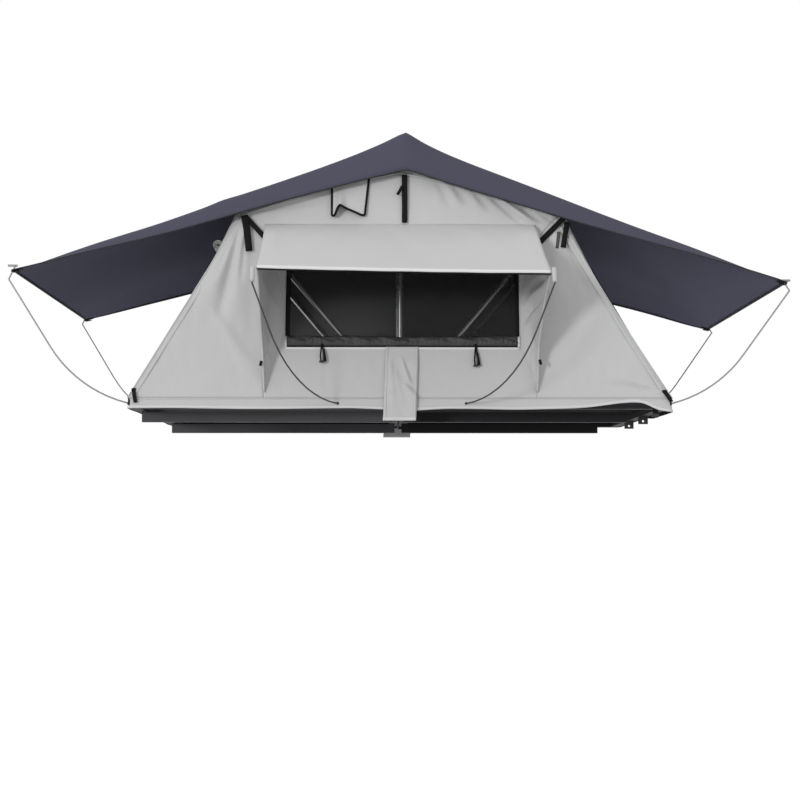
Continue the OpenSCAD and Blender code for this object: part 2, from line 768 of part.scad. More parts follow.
module window_toggles() {
  loop = [12, 3, 62];
  eye = [5, 5, 24];
  color([0.05, 0.05, 0.05]) at_fold() for (x = toggle_x)
    translate([x - loop.x / 2, -wall_y - cloth_gap - loop.y, sill_z - loop.z - cloth_gap]) difference() {
      cube(loop);
      translate([(loop.x - eye.x) / 2, -1, 6]) cube(eye);
    }
}

// Awning over the window, with a triangular gusset at each side

function awning_point(u, v) =
  let (sag = 10, dip = 8, start_y = -wall_y - cloth_gap - cloth_t * awning_slope.y)
  [mix(mix(awning_seam_x[0], awning_seam_x[1], u), mix(awning_edge_x[0], awning_edge_x[1], u), v),
    mix(start_y, awning_edge_y, v),
    mix(awning_z, awning_edge_z, v) - 4 * sag * v * (1 - v) - 4 * dip * u * (1 - u) * v];

module awning_panel() {
  across = 10;
  down = 6;
  outer = [for (u = steps(0, 1, across), v = steps(0, 1, down)) awning_point(u, v)];
  inner = [for (p = outer) p + cloth_t * [0, awning_slope.y, -awning_slope.x]];
  color([0.78, 0.78, 0.78]) at_fold() sheet(outer, inner, across, down, flip = true);
}

module awning_gussets() {
  across = 6;
  down = 6;
  foot_z = frame_top + 34;
  edge_h = 14;
  below = cloth_t / awning_slope.x + 2 * cloth_gap;
  ripple = 5;
  color([0.5, 0.5, 0.5]) at_fold() for (u = [0, 1]) {
    s = 2 * u - 1;
    outer = [for (a = steps(0.004, 0.99, across), b = steps(0, 1, down))
      let (top = awning_point(u, a) - [0, 0, below],
        low = [awning_seam_x[u] - s * 6, top.y, mix(foot_z, awning_edge_z - below - edge_h, a)],
        p = mix(top, [mix(low.x, top.x, a), low.y, low.z], b))
      p - [s * (cloth_gap + ripple * sin(180 * b) * (0.5 + 0.5 * cos(540 * a))), 0, 0]];
    inner = [for (p = outer) p - [s * cloth_t, 0, 0]];
    sheet(outer, inner, across, down, flip = s < 0);
  }
}

// Strips over the fold line, sewn on at their top edge and free below
flap_x = [-60, 85];
flap_low = 3;

module hinge_flap(front) {
  across = 6;
  down = 12;
  ripple = 5;
  outer = [for (u = steps(0, 1, across), v = steps(0, 1, down))
    let (wave = v * sin(180 * u) * (0.5 + 0.5 * cos(360 * (2.5 * v + 0.8 * u))))
    [mix(flap_x[0], flap_x[1], u) - 6 * v * (1 - 2 * u), -wall_y - 2 * cloth_gap - cloth_t - ripple * wave,
      mix(sill_z - 1, flap_low, v)]];
  inner = [for (p = outer) p + [0, cloth_t, 0]];
  color([0.7, 0.7, 0.7]) at_fold() mirror([0, front ? 0 : 1, 0])
    sheet(outer, inner, across, down, flip = true);
}

// Hood over the vent in the upper part of the front wall
vent_x = [-304, -140];
vent_low = mid_edge_z - 196;

module vent_flap() {
  across = 8;
  down = 4;
  stand = 26;
  top_gap = 12;
  outer = [for (u = steps(0, 1, across), v = steps(0, 1, down))
    let (x = mix(vent_x[0], vent_x[1], u), top = wall_top(x) - top_gap,
      low = vent_low + 38 * sin(180 * min(1, u * 1.6)) * (u < 0.625 ? 1 : 0))
    [x, -wall_y - cloth_gap - cloth_t - stand * v * sin(180 * u), mix(top, low, v)]];
  inner = [for (p = outer) p + [0, cloth_t, 0]];
  color([0.68, 0.68, 0.68]) at_fold() sheet(outer, inner, across, down, flip = true);
}

// Rolled-up door over the left doorway: a spiral of cloth, held by three ties

roll_turns = 3;
roll_r = 27;
roll_core = 8;
roll_t = 3.6;
tie_t = 2;
tie_w = 25;
roll_len = 2 * bend_y - 20;
roll_centre = end_point(-1, 0, 0.82)
  + (roll_r + tie_t + 2 * cloth_gap) * [-end_slope.y, 0, end_slope.x];

module at_roll() {
  at_fold() translate(roll_centre) rotate([-90, 0, 0]) children();
}

module door_roll() {
  points_per_turn = 16;
  n = roll_turns * points_per_turn;
  path = [for (k = [0:n]) [mix(roll_core, roll_r, k / n), -360 * k / points_per_turn]];
  color([0.66, 0.66, 0.66]) at_roll() translate([0, 0, -roll_len / 2]) linear_extrude(roll_len)
    polygon(concat(
      [for (p = path) p[0] * [cos(p[1]), sin(p[1])]],
      [for (k = [n:-1:0]) (path[k][0] - roll_t) * [cos(path[k][1]), sin(path[k][1])]]));
}

module door_ties() {
  color([0.05, 0.05, 0.05]) at_roll() for (k = [-1, 0, 1])
    translate([0, 0, k * roll_len * 0.36 - tie_w / 2]) difference() {
      cylinder(h = tie_w, r = roll_r + cloth_gap + tie_t);
      translate([0, 0, -1]) cylinder(h = tie_w + 2, r = roll_r + cloth_gap);
    }
}

// Fly: it falls straight from the ridge to its corners, and its edges hang down along both long sides

function fly_point(x_share, y) =
  let (a = abs(x_share), straight = ridge_len / 2, bow_out = 2.2,
    t = max(0, (abs(y) - straight) / (fly_y - straight)),
    ends = fly_half - fly_hollow * (1 - pow(y / fly_y, 2)))
  [x_share * ends, y,
    mix(fly_top, corner_z(x_share < 0 ? -1 : 1), fly_fall(a)) - valance * (1 - a) * pow(t, bow_out)];

module fly_sheet() {
  straight = ridge_len / 2;
  ys = concat(steps(-fly_y, -straight, 5), [for (k = [1:3]) mix(-straight, straight, k / 4)],
    steps(straight, fly_y, 5));
  across = len(ys) - 1;
  along = 20;
  outer = [for (y = ys, u = steps(-1, 1, along)) fly_point(u, y)];
  inner = [for (p = outer) p - [0, 0, cloth_t]];
  color([0.3, 0.3, 0.35]) at_fold() sheet(outer, inner, across, along, flip = true);
}

// Webbing tabs at the fly's corners, each with a hole for a rod's tip
module fly_corner_tabs() {
  tab = [32, 23, 2];
  color([0.06, 0.06, 0.06]) for (s = [-1, 1]) half(s) for (f = [-1, 1]) difference() {
    translate([fly_half + cloth_gap, f * tip_y(s) - tab.y / 2, corner_z(s) - tab.z]) cube(tab);
    stick(fly_rod_knee(s, f), fly_rod_tip(s, f), rod_d + 2);
  }
}

// Webbing straps on the front wall that tie the fly down
module fly_straps() {
  strap_t = 1.6;
  color([0.05, 0.05, 0.05]) at_fold() {
    for (p = [[18, mid_edge_z - 12, 18, awning_z + 6], [-shoulder_x + 12, shoulder_z - 14,
        -shoulder_x + 8, shoulder_z - 150], [shoulder_x + 4, shoulder_z - 30,
        shoulder_x - 12, shoulder_z - 140]])
      strap(p, 30, strap_t);
    for (s = [-1, 1])
      strap([s * (shoulder_x - 22), shoulder_z - 18, s * (shoulder_x - 96), shoulder_z - 108], 26, strap_t);
  }
}

module strap(p, w, t) {
  v = [p[2] - p[0], p[3] - p[1]];
  translate([p[0], -wall_y - cloth_gap, p[1]]) rotate([90, 0, 0])
    rotate([0, 0, atan2(v.y, v.x)]) translate([0, -w / 2, 0]) cube([norm(v), w, t]);
}

// Ladder brackets and the closing strap, below the folding half

module ladder_brackets() {
  spread = 190;
  foot_t = 4;
  foot_w = 30;
  length = 46;
  bore_d = 10.5;
  bore_z = 22;
  low = 8;
  x0 = half_length - 4 - length;
  color("silver") half(1) both_ends() translate([x0, spread, 0]) difference() {
    union() {
      translate([0, 0, rail_h - foot_t]) cube([length, foot_w, foot_t]);
      translate([0, 0, low]) cube([length, foot_t, rail_h - low]);
    }
    translate([length / 2, -1, bore_z]) rotate([-90, 0, 0]) cylinder(h = foot_t + 2, d = bore_d);
  }
}

strap_x = half_length - 75;
strap_y = -half_depth + 10;
strap_w = 25;
strap_cloth = 2;
strap_low = 6;

module closing_strap() {
  color([0.05, 0.05, 0.05]) half(1) translate([strap_x, strap_y, strap_low])
    cube([strap_w, strap_cloth, rail_h - strap_low]);
}

module closing_buckle() {
  rim = 4;
  h = 14;
  t = 8;
  color([0.08, 0.08, 0.08]) half(1) translate([strap_x, strap_y, strap_low + 4]) difference() {
    translate([-rim, (strap_cloth - t) / 2, 0]) cube([strap_w + 2 * rim, t, h]);
    translate([-fit_gap, -fit_gap, -1])
      cube([strap_w + 2 * fit_gap, strap_cloth + 2 * fit_gap, h + 2]);
  }
}

base_frame(-1);  // base_frame_left
floor_panel(-1);  // floor_panel_left
mattress(-1);  // mattress_left
rails(-1, true);  // mount_rails
edge_trim(-1);  // edge_trim_left
skirt(-1);  // skirt_left
hinge_leaves(-1);  // hinge_leaves_left
hinge_pins();
bow_brackets(-1);  // bow_brackets_left
bow_pins(-1);  // bow_pins_left
rod_sockets(-1);  // rod_sockets_left
hinge_bolts(-1);  // hinge_bolts_left
corner_tabs(-1);  // corner_tabs_left
base_frame(1);  // base_frame_right
floor_panel(1);  // floor_panel_right
mattress(1);  // mattress_right
rails(1, false);  // stiffener_rails
edge_trim(1);  // edge_trim_right
skirt(1);  // skirt_right
hinge_leaves(1);  // hinge_leaves_right
bow_brackets(1);  // bow_brackets_right
bow_pins(1);  // bow_pins_right
rod_sockets(1);  // rod_sockets_right
hinge_bolts(1);  // hinge_bolts_right
corner_tabs(1);  // corner_tabs_right
ladder_brackets();
closing_strap();
closing_buckle();
bow_left_tube();
bow_left_feet();
bow_mid_tube();
bow_mid_feet();
ridge_posts();
ridge_pole();
bow_right_tube();
bow_right_feet();
fly_rod(-1, -1);  // fly_rod_front_left
fly_rod(-1, 1);  // fly_rod_back_left
fly_rod(1, -1);  // fly_rod_front_right
fly_rod(1, 1);  // fly_rod_back_right
awning_rod(-1);  // awning_rod_left_side
awning_rod(1);  // awning_rod_right_side
wall(true);  // front_wall
wall(false);  // back_wall
end_wall(-1, true);  // end_wall_left
end_wall(1, false);  // end_wall_right
tent_roof();
fly_sheet();
fly_corner_tabs();
fly_straps();
window_screen();
screen_gather();
window_toggles();
awning_panel();
awning_gussets();
hinge_flap(true);  // hinge_flap_front
hinge_flap(false);  // hinge_flap_back
vent_flap();
door_roll();
door_ties();
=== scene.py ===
"""A soft-shell roof top tent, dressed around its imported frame. Metres, in the frame's own axes."""

import json
import math

import bpy
import numpy as np
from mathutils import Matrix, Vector

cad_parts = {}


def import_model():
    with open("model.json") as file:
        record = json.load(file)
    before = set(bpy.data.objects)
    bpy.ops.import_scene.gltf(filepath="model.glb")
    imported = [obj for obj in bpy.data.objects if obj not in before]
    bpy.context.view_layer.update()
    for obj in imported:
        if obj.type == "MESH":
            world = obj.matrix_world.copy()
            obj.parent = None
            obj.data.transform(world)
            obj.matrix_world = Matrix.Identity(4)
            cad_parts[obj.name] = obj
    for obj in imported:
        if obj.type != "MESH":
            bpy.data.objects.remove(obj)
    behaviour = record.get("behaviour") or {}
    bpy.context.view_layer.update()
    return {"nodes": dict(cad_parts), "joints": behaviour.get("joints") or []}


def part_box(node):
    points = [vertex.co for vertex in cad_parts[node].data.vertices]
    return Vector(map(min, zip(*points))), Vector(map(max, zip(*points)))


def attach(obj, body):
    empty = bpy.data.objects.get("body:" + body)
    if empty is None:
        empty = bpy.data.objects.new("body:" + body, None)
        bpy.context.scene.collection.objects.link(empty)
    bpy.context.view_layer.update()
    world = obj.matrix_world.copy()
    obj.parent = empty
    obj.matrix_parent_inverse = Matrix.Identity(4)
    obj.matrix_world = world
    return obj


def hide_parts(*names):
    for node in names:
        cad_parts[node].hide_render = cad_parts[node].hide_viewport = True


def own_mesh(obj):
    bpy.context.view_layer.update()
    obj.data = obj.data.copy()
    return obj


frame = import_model()

# Sizes taken from the frame, with x measured from the fold line

JOINT = {j["name"]: j for j in frame["joints"]}
FOLD_X = JOINT["base_fold"]["pos_m"][0]
PIVOT_X = FOLD_X - JOINT["bow_left_swing"]["pos_m"][0]
PIVOT_Z = JOINT["bow_left_swing"]["pos_m"][2]
WALL_LAP = 0.017
END_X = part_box("skirt_right")[1].x - FOLD_X
BASE_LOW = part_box("skirt_right")[0].z
WALL_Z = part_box("back_wall")[0].z - WALL_LAP
WALL_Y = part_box("back_wall")[1].y
MID_EDGE_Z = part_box("back_wall")[1].z
ROOF_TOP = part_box("tent_roof")[1].z
CLOTH_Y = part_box("tent_roof")[1].y
FLY_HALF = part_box("fly_sheet")[1].x - FOLD_X
FLY_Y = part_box("fly_sheet")[1].y
FLY_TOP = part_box("fly_sheet")[1].z
RIDGE_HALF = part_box("ridge_pole")[1].y
WINDOW_X = [corner.x - FOLD_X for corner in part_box("window_screen")]
WINDOW_Z = [corner.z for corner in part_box("window_screen")]
AWNING_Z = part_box("awning_panel")[1].z
AWNING_EDGE_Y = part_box("awning_panel")[0].y

# The canvas's own shape: the bows' angle, the round of their bends and the reach of the cloth over them

BOW_ANGLE = math.radians(50)
BEND_Y = 0.615
SIDE_TOP = 1.076
SIDE_DROP = 0.045
MID_DROP = ROOF_TOP - MID_EDGE_Z
SHOULDER_X = PIVOT_X + (SIDE_TOP - SIDE_DROP) * math.cos(BOW_ANGLE)
SHOULDER_Z = PIVOT_Z + (SIDE_TOP - SIDE_DROP) * math.sin(BOW_ANGLE)
EAVE_RISE = 0.018
EDGE_SAG = {-1: 0.0, 1: 0.012}
CANVAS_T = 0.0014

SIDES = ((-1, "left"), (1, "right"))
FRONT, BACK, UP = (0, -1, 0), (0, 1, 0), (0, 0, 1)


def mix(a, b, t):
    return a + (b - a) * t


def smooth(t):
    t = np.clip(t, 0, 1)
    return t * t * (3 - 2 * t)


def unit(v):
    v = np.asarray(v, float)
    return v / np.maximum(np.linalg.norm(v, axis=-1, keepdims=True), 1e-12)


def hump(x, centre, width):
    """A soft hump, 1 high at its centre."""
    return np.exp(-(((x - centre) / width) ** 2))


def place(*coordinates):
    """Points from coordinates that are arrays or single numbers."""
    return np.stack(np.broadcast_arrays(*coordinates), -1)


def grid(u, v):
    return np.meshgrid(u, v, indexing="ij")


def waves(points, size, seed):
    """Soft random waves over points, about -1 to 1, with features of that size."""
    rng = np.random.default_rng(seed)
    total = 0
    for _ in range(7):
        way = unit(rng.normal(size=points.shape[-1]))
        pace = 2 * math.pi / size * rng.uniform(0.6, 1.5)
        total = total + np.sin(points @ way * pace + rng.uniform(0, 2 * math.pi))
    return total / 4


def folds(x, z, lines):
    """Height of soft folds over a flat cloth. A line is (x0, z0, x1, z1, half width, height)."""
    total = np.zeros_like(x)
    for x0, z0, x1, z1, width, height in lines:
        dx, dz = x1 - x0, z1 - z0
        length = math.hypot(dx, dz)
        along = ((x - x0) * dx + (z - z0) * dz) / length**2
        off = ((x - x0) * dz - (z - z0) * dx) / length
        spread = width * (0.6 + 0.8 * np.clip(along, 0, 1))
        taper = smooth(np.minimum((along + 0.12) / 0.3, (1.2 - along) / 0.6))
        total += height * taper * hump(off, 0, spread)
    return total


# Meshes


def add_object(name, vertices, faces, uvs, material):
    mesh = bpy.data.meshes.new(name)
    mesh.from_pydata([tuple(v) for v in vertices], [], [tuple(int(i) for i in f) for f in faces])
    layer = mesh.uv_layers.new(name="cloth")
    corner = np.array([loop.vertex_index for loop in mesh.loops])
    layer.data.foreach_set("uv", np.asarray(uvs, np.float32)[corner].ravel())
    mesh.polygons.foreach_set("use_smooth", [True] * len(mesh.polygons))
    mesh.materials.append(material)
    obj = bpy.data.objects.new(name, mesh)
    bpy.context.scene.collection.objects.link(obj)
    return obj


def spans(points, axis):
    """Distance run along one side of a grid of points."""
    step = np.linalg.norm(np.diff(points, axis=axis), axis=-1).mean(axis=1 - axis)
    return np.concatenate([[0], np.cumsum(step)])


def surface(name, points, material, thick=CANVAS_T, hole=None, flip=False, inside=None):
    """A sheet through a grid of points, with its face along the grid's cross product, or flipped."""
    points = points + np.array([FOLD_X, 0, 0])
    nu, nv = points.shape[:2]
    index = np.arange(nu * nv).reshape(nu, nv)
    quads = np.stack([index[:-1, :-1], index[1:, :-1], index[1:, 1:], index[:-1, 1:]], -1)
    quads = quads.reshape(-1, 4) if hole is None else quads[~hole]
    if flip:
        quads = quads[:, ::-1]
    u, v = grid(spans(points, 0), spans(points, 1))
    used, quads = np.unique(quads, return_inverse=True)
    uvs = place(u.ravel(), v.ravel())[used]
    obj = add_object(name, points.reshape(-1, 3)[used], quads.reshape(-1, 4), uvs, material)
    if thick:
        layer = obj.modifiers.new("thickness", "SOLIDIFY")
        layer.thickness = thick
        layer.offset = -1
        if inside:
            obj.data.materials.append(inside)
            layer.material_offset = 1
    return obj


def sweep(name, path, out, profile, material, closed=False):
    """A closed profile of (across, out) points carried along a path of points."""
    path = np.asarray(path, float) + np.array([FOLD_X, 0, 0])
    if closed:
        ring = np.concatenate([path[-1:], path, path[:1]])
        along = unit(ring[2:] - ring[:-2])
    else:
        along = unit(np.gradient(path, axis=0))
    out = np.broadcast_to(np.asarray(out, float), path.shape)
    across = unit(np.cross(out, along))
    out = np.cross(along, across)
    profile = np.asarray(profile, float)
    n, m = len(path), len(profile)
    vertices = path[:, None] + across[:, None] * profile[:, :1] + out[:, None] * profile[:, 1:]
    runs = np.concatenate([[0], np.cumsum(np.linalg.norm(np.diff(path, axis=0), axis=1))])
    uvs = place(runs[:, None], profile[None, :, 0]).reshape(-1, 2)
    faces = []
    for i in range(n if closed else n - 1):
        j = (i + 1) % n
        for k in range(m):
            e = (k + 1) % m
            faces.append((i * m + k, i * m + e, j * m + e, j * m + k))
    if not closed:
        faces.append(tuple(range(m))[::-1])
        faces.append(tuple((n - 1) * m + k for k in range(m)))
    return add_object(name, vertices.reshape(-1, 3), faces, uvs, material)


def band(width, thick, lift=0.0):
    """A flat strap's section with round edges."""
    w, r = width / 2, min(thick / 2, width / 4)
    low, high = lift, lift + thick
    return [
        (-w, low + r), (-w + r * 0.4, low), (w - r * 0.4, low), (w, low + r),
        (w, high - r), (w - r * 0.6, high), (-w + r * 0.6, high), (-w, high - r),
    ]


def cord_section(diameter, sides=8):
    angles = np.linspace(0, 2 * math.pi, sides, endpoint=False)
    return [(diameter / 2 * math.cos(a), diameter / 2 * math.sin(a)) for a in angles]


def line(points, step=0.02):
    """Points along a run of straight stretches, a step apart."""
    points = [np.asarray(p, float) for p in points]
    made = [points[0]]
    for a, b in zip(points, points[1:]):
        n = max(1, int(round(np.linalg.norm(b - a) / step)))
        made += [mix(a, b, k / n) for k in range(1, n + 1)]
    return np.array(made)


def joined(name, objects):
    """Several meshes made into one object."""
    bpy.ops.object.select_all(action="DESELECT")
    for o in objects:
        o.select_set(True)
    bpy.context.view_layer.objects.active = objects[0]
    bpy.ops.object.join()
    objects[0].name = name
    return objects[0]


# Materials


def node_adder(tree):
    """A function that adds nodes to a tree. A node's values are constants, or sockets to link from."""

    def add(kind, values=(), **settings):
        node = tree.nodes.new("ShaderNode" + kind)
        for key, value in settings.items():
            setattr(node, key, value)
        for key, value in dict(values).items():
            if isinstance(value, bpy.types.NodeSocket):
                tree.links.new(value, node.inputs[key])
            else:
                node.inputs[key].default_value = value
        return node

    return add


def scaled(colour, share):
    return tuple(c * share for c in colour)


# A wave texture's scale for one band to a metre
WAVE_TURN = 2 * math.pi / 20


class Finish:
    """A new material: its shader, and what the finishes below are built from."""

    def __init__(self, name, rough, metallic=0.0, **sockets):
        self.material = bpy.data.materials.new(name)
        self.material.use_nodes = True
        self.tree = self.material.node_tree
        self.shader = self.tree.nodes["Principled BSDF"]
        self.add = node_adder(self.tree)
        sockets = {"Roughness": rough, "Metallic": metallic, **sockets}
        for key, value in sockets.items():
            self.shader.inputs[key.replace("_", " ")].default_value = value
        outputs = self.add("TexCoord").outputs
        self.uv, self.at = outputs["UV"], outputs["Object"]

    def join(self, output, key):
        self.tree.links.new(output, self.shader.inputs[key])

    def noise(self, at, **values):
        return self.add("TexNoise", {"Vector": at, **values}).outputs["Fac"]

    def wave(self, way, per_metre, distortion=0.0):
        values = {"Vector": self.uv, "Scale": per_metre * WAVE_TURN, "Distortion": distortion}
        return self.add("TexWave", values, bands_direction=way).outputs["Fac"]

    def maths(self, operation, a, b=0.0):
        return self.add("Math", {0: a, 1: b}, operation=operation).outputs[0]

    def ramp(self, value, low, high, ends="From"):
        values = {"Value": value, ends + " Min": low, ends + " Max": high}
        return self.add("MapRange", values).outputs[0]

    def colour(self, factor, dark, light):
        values = {0: factor, 6: (*dark, 1), 7: (*light, 1)}
        self.join(self.add("Mix", values, data_type="RGBA").outputs[2], "Base Color")

    def gloss(self, factor, low, high):
        self.join(self.ramp(factor, low, high, "To"), "Roughness")

    def bump(self, height, strength, distance, over=None):
        values = {"Height": height, "Strength": strength, "Distance": distance}
        if over is not None:
            values["Normal"] = over
        normal = self.add("Bump", values).outputs[0]
        self.join(normal, "Normal")
        return normal


def cloth(name, colour, threads=420, mottle=0.05, weave=0.3, crumple=0.25, rough=0.85, **sockets):
    """Woven cloth: warp and weft, slubs, soft patches of tone and small crumples."""
    made = Finish(name, rough, **sockets)
    thread = made.maths("ADD", made.wave("X", threads, 0.5), made.wave("Y", threads, 0.5))
    patch = made.noise(made.at, Scale=2.6, Detail=3.0, Roughness=0.6)
    slub = made.noise(made.uv, Scale=160.0, Detail=2.0)
    tone = made.maths("MULTIPLY", made.maths("ADD", patch, slub), 0.5)
    made.colour(tone, scaled(colour, 1 - mottle), scaled(colour, 1 + mottle))
    crease = made.noise(made.at, Scale=11.0, Detail=5.0, Distortion=0.4)
    made.bump(thread, weave, 0.0006, over=made.bump(crease, crumple, 0.006))
    return made.material


def webbing(name, colour):
    """Strap webbing: ribs along the strap, crossed by a tight weft."""
    made = Finish(name, 0.8, Specular_IOR_Level=0.2)
    height = made.maths("MULTIPLY", made.wave("Y", 240), made.wave("X", 500))
    made.colour(height, scaled(colour, 0.6), scaled(colour, 1.6))
    made.bump(height, 0.5, 0.0008)
    return made.material


def metal(name, colour, rough, metallic=1.0):
    """Drawn or extruded metal: fine streaks along the part, and scuffs in the gloss."""
    made = Finish(name, rough, metallic)
    drawn = made.add("Mapping", {"Vector": made.at, "Scale": (4, 90, 90)}).outputs[0]
    grain = made.noise(drawn, Scale=6.0, Detail=3.0)
    scuff = made.noise(made.at, Scale=9.0, Detail=6.0, Roughness=0.7)
    made.colour(grain, scaled(colour, 0.75), scaled(colour, 1.125))
    made.gloss(scuff, rough * 0.7, rough * 1.35)
    made.bump(grain, 0.08, 0.0005)
    return made.material


def moulded(name, colour, rough, grain=500.0, shine=0.5):
    """Moulded plastic or powder coat: a fine even grain, with dusty patches."""
    made = Finish(name, rough, Specular_IOR_Level=shine)
    fine = made.noise(made.at, Scale=grain, Detail=2.0)
    dust = made.noise(made.at, Scale=5.0, Detail=5.0, Roughness=0.65)
    made.colour(dust, scaled(colour, 0.8), scaled(colour, 1.25))
    made.gloss(dust, rough * 0.8, rough * 1.2)
    made.bump(fine, 0.25, 0.0004)
    return made.material


def stitched(name, colour, thread_colour):
    """A sewn tape with a row of stitches near each edge."""
    made = Finish(name, 0.85)
    off = made.maths("ABSOLUTE", made.add("SeparateXYZ", {0: made.uv}).outputs[1])
    row = made.maths("MULTIPLY", made.ramp(off, 0.0035, 0.005), made.ramp(off, 0.0062, 0.005))
    seen = made.maths("MULTIPLY", row, made.wave("X", 170))
    made.colour(seen, colour, thread_colour)
    made.bump(seen, 0.5, -0.001)
    return made.material


GREY = (0.52, 0.52, 0.522)
CHARCOAL = (0.074, 0.073, 0.103)
BLACK = (0.006, 0.006, 0.0065)
FLY_WEAVE = {"threads": 600, "mottle": 0.06, "weave": 0.15, "crumple": 0.16, "Specular_IOR_Level": 0.04}

CANVAS = cloth("canvas", GREY, Sheen_Weight=0.08)
CANVAS_INSIDE = cloth("canvas_inside", scaled(GREY, 0.28), Specular_IOR_Level=0.1)
HEM = stitched("canvas_hem", scaled(GREY, 1.4), scaled(GREY, 1.2))
SOFT_HEM = stitched("canvas_soft_hem", scaled(GREY, 1.18), GREY)
SEAM = stitched("canvas_seam", GREY, scaled(GREY, 0.86))
FLY = cloth("fly_cloth", CHARCOAL, rough=0.85, **FLY_WEAVE)
# The fly's inner face: its charcoal painted lighter, as painted light for the light that comes through the
# cloth
FLY_INSIDE_PAINTED_LIT = cloth("fly_lining", scaled(CHARCOAL, 1.8), rough=0.9, **FLY_WEAVE)
FLY_BINDING = stitched("fly_binding", (0.022, 0.022, 0.026), (0.06, 0.06, 0.07))
MESH = cloth("insect_mesh", (0.014, 0.014, 0.015), threads=700, mottle=0.1, rough=0.7, Alpha=0.6)
GATHERED = cloth("gathered_mesh", (0.038, 0.038, 0.040), threads=500, mottle=0.45, rough=0.6)
WEBBING = webbing("webbing_black", BLACK)
GREY_WEBBING = webbing("webbing_grey", (0.10, 0.10, 0.10))
BINDING = webbing("binding_black", scaled(BLACK, 0.8))
MATTRESS = cloth("mattress_cover", (0.24, 0.25, 0.28), threads=260, mottle=0.08, weave=0.5, crumple=0.4)
LINING = cloth("skirt_lining", (0.016, 0.016, 0.017), threads=300, rough=0.9, Specular_IOR_Level=0.05)
PLASTIC = moulded("black_plastic", (0.014, 0.014, 0.015), 0.5)

NODE_FINISHES = (
    (moulded("black_coat", (0.016, 0.016, 0.018), 0.55, shine=0.12),
     "base_frame_left base_frame_right stiffener_rails edge_trim_left edge_trim_right"),
    # The mount rails: the frame's black coat painted lighter grey, as painted light on the rails' lit faces
    (moulded("grey_coat", (0.075, 0.075, 0.080), 0.55, shine=0.12), "mount_rails"),
    (moulded("floor_board", (0.014, 0.014, 0.015), 0.8, grain=220.0, shine=0.02), "floor_panel_right"),
    # The left floor panel: the same board as the right one, painted lighter as painted light, which softens
    # the shade line seen between the rails
    (moulded("floor_board_grey", (0.05, 0.05, 0.053), 0.8, grain=220.0, shine=0.02), "floor_panel_left"),
    (metal("dark_steel", (0.045, 0.045, 0.045), 0.55, metallic=0.4),
     "hinge_leaves_left hinge_leaves_right hinge_pins hinge_bolts_left hinge_bolts_right ladder_brackets"),
    (metal("zinc_steel", (0.58, 0.58, 0.58), 0.4),
     "bow_brackets_left bow_brackets_right bow_pins_left bow_pins_right"),
    (metal("tube_alloy", (0.80, 0.80, 0.81), 0.28), "bow_left_tube bow_mid_tube bow_right_tube ridge_pole"),
    (metal("spring_steel", (0.30, 0.30, 0.30), 0.42, metallic=0.5),
     "fly_rod_front_left fly_rod_back_left fly_rod_front_right fly_rod_back_right"),
    (metal("spring_steel_dark", (0.06, 0.06, 0.062), 0.42, metallic=0.5),
     "awning_rod_left_side awning_rod_right_side"),
    (PLASTIC, "rod_sockets_left rod_sockets_right closing_buckle"),
    (PLASTIC, "bow_left_feet bow_mid_feet bow_right_feet ridge_posts"),
)


def finish_nodes():
    for material, names in NODE_FINISHES:
        for name in names.split():
            data = frame["nodes"][name].data
            data.materials.clear()
            data.materials.append(material)


# How pieces move


def with_half(obj, side, squash=True):
    """A piece on one half of the base: it rides that half, and gets a mesh of its own when squash is set."""
    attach(obj, "base_fixed" if side < 0 else "base_folding")
    if squash:
        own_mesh(obj)


def with_bow(obj, body="bow_mid"):
    """A piece on the middle bow or the awning: it rides that body, with a mesh of its own."""
    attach(obj, body)
    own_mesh(obj)


# Canvas outline


def bend_share(y):
    """How far round the bends of the bows a place across the depth is."""
    q = np.clip((np.abs(y) - BEND_Y) / (CLOTH_Y - BEND_Y), 0, 1)
    return 1 - np.sqrt(1 - q * q)


def side_crest(s, y):
    r = SIDE_TOP - SIDE_DROP * bend_share(y)
    return place(s * (PIVOT_X + r * math.cos(BOW_ANGLE)), y, PIVOT_Z + r * math.sin(BOW_ANGLE))


def mid_crest(y):
    return place(0.0, y, ROOF_TOP - MID_DROP * bend_share(y))


def across_rows(flat=24, bend=9):
    """Places across the depth, close together round the bends of the bows."""
    turn = mix(BEND_Y, CLOTH_Y, np.sin(np.linspace(0, math.pi / 2, bend + 1)[1:]))
    return np.concatenate([-turn[::-1], np.linspace(-BEND_Y, BEND_Y, flat + 1), turn])


def edge_x(z, s):
    """Half width of the front and back walls at a height below the shoulders."""
    t = (z - WALL_Z) / (SHOULDER_Z - WALL_Z)
    return mix(END_X, SHOULDER_X, t) - EDGE_SAG[s] * np.sin(math.pi * np.clip(t, 0, 1))


def wall_top(x):
    a = np.clip(np.abs(x) / SHOULDER_X, 0, 1)
    return mix(MID_EDGE_Z, SHOULDER_Z, a) + EAVE_RISE * np.sin(math.pi * a)


# Front and back walls, each in three pieces that meet at the awning's gussets

# Where the pieces meet, at the foot and at the window's top
CUT_X = {-1: (-0.601, -0.612), 1: (0.602, 0.612)}
COLUMNS_BY_WINDOW = (12, 64, 10)
SIDE_COLUMNS = 56

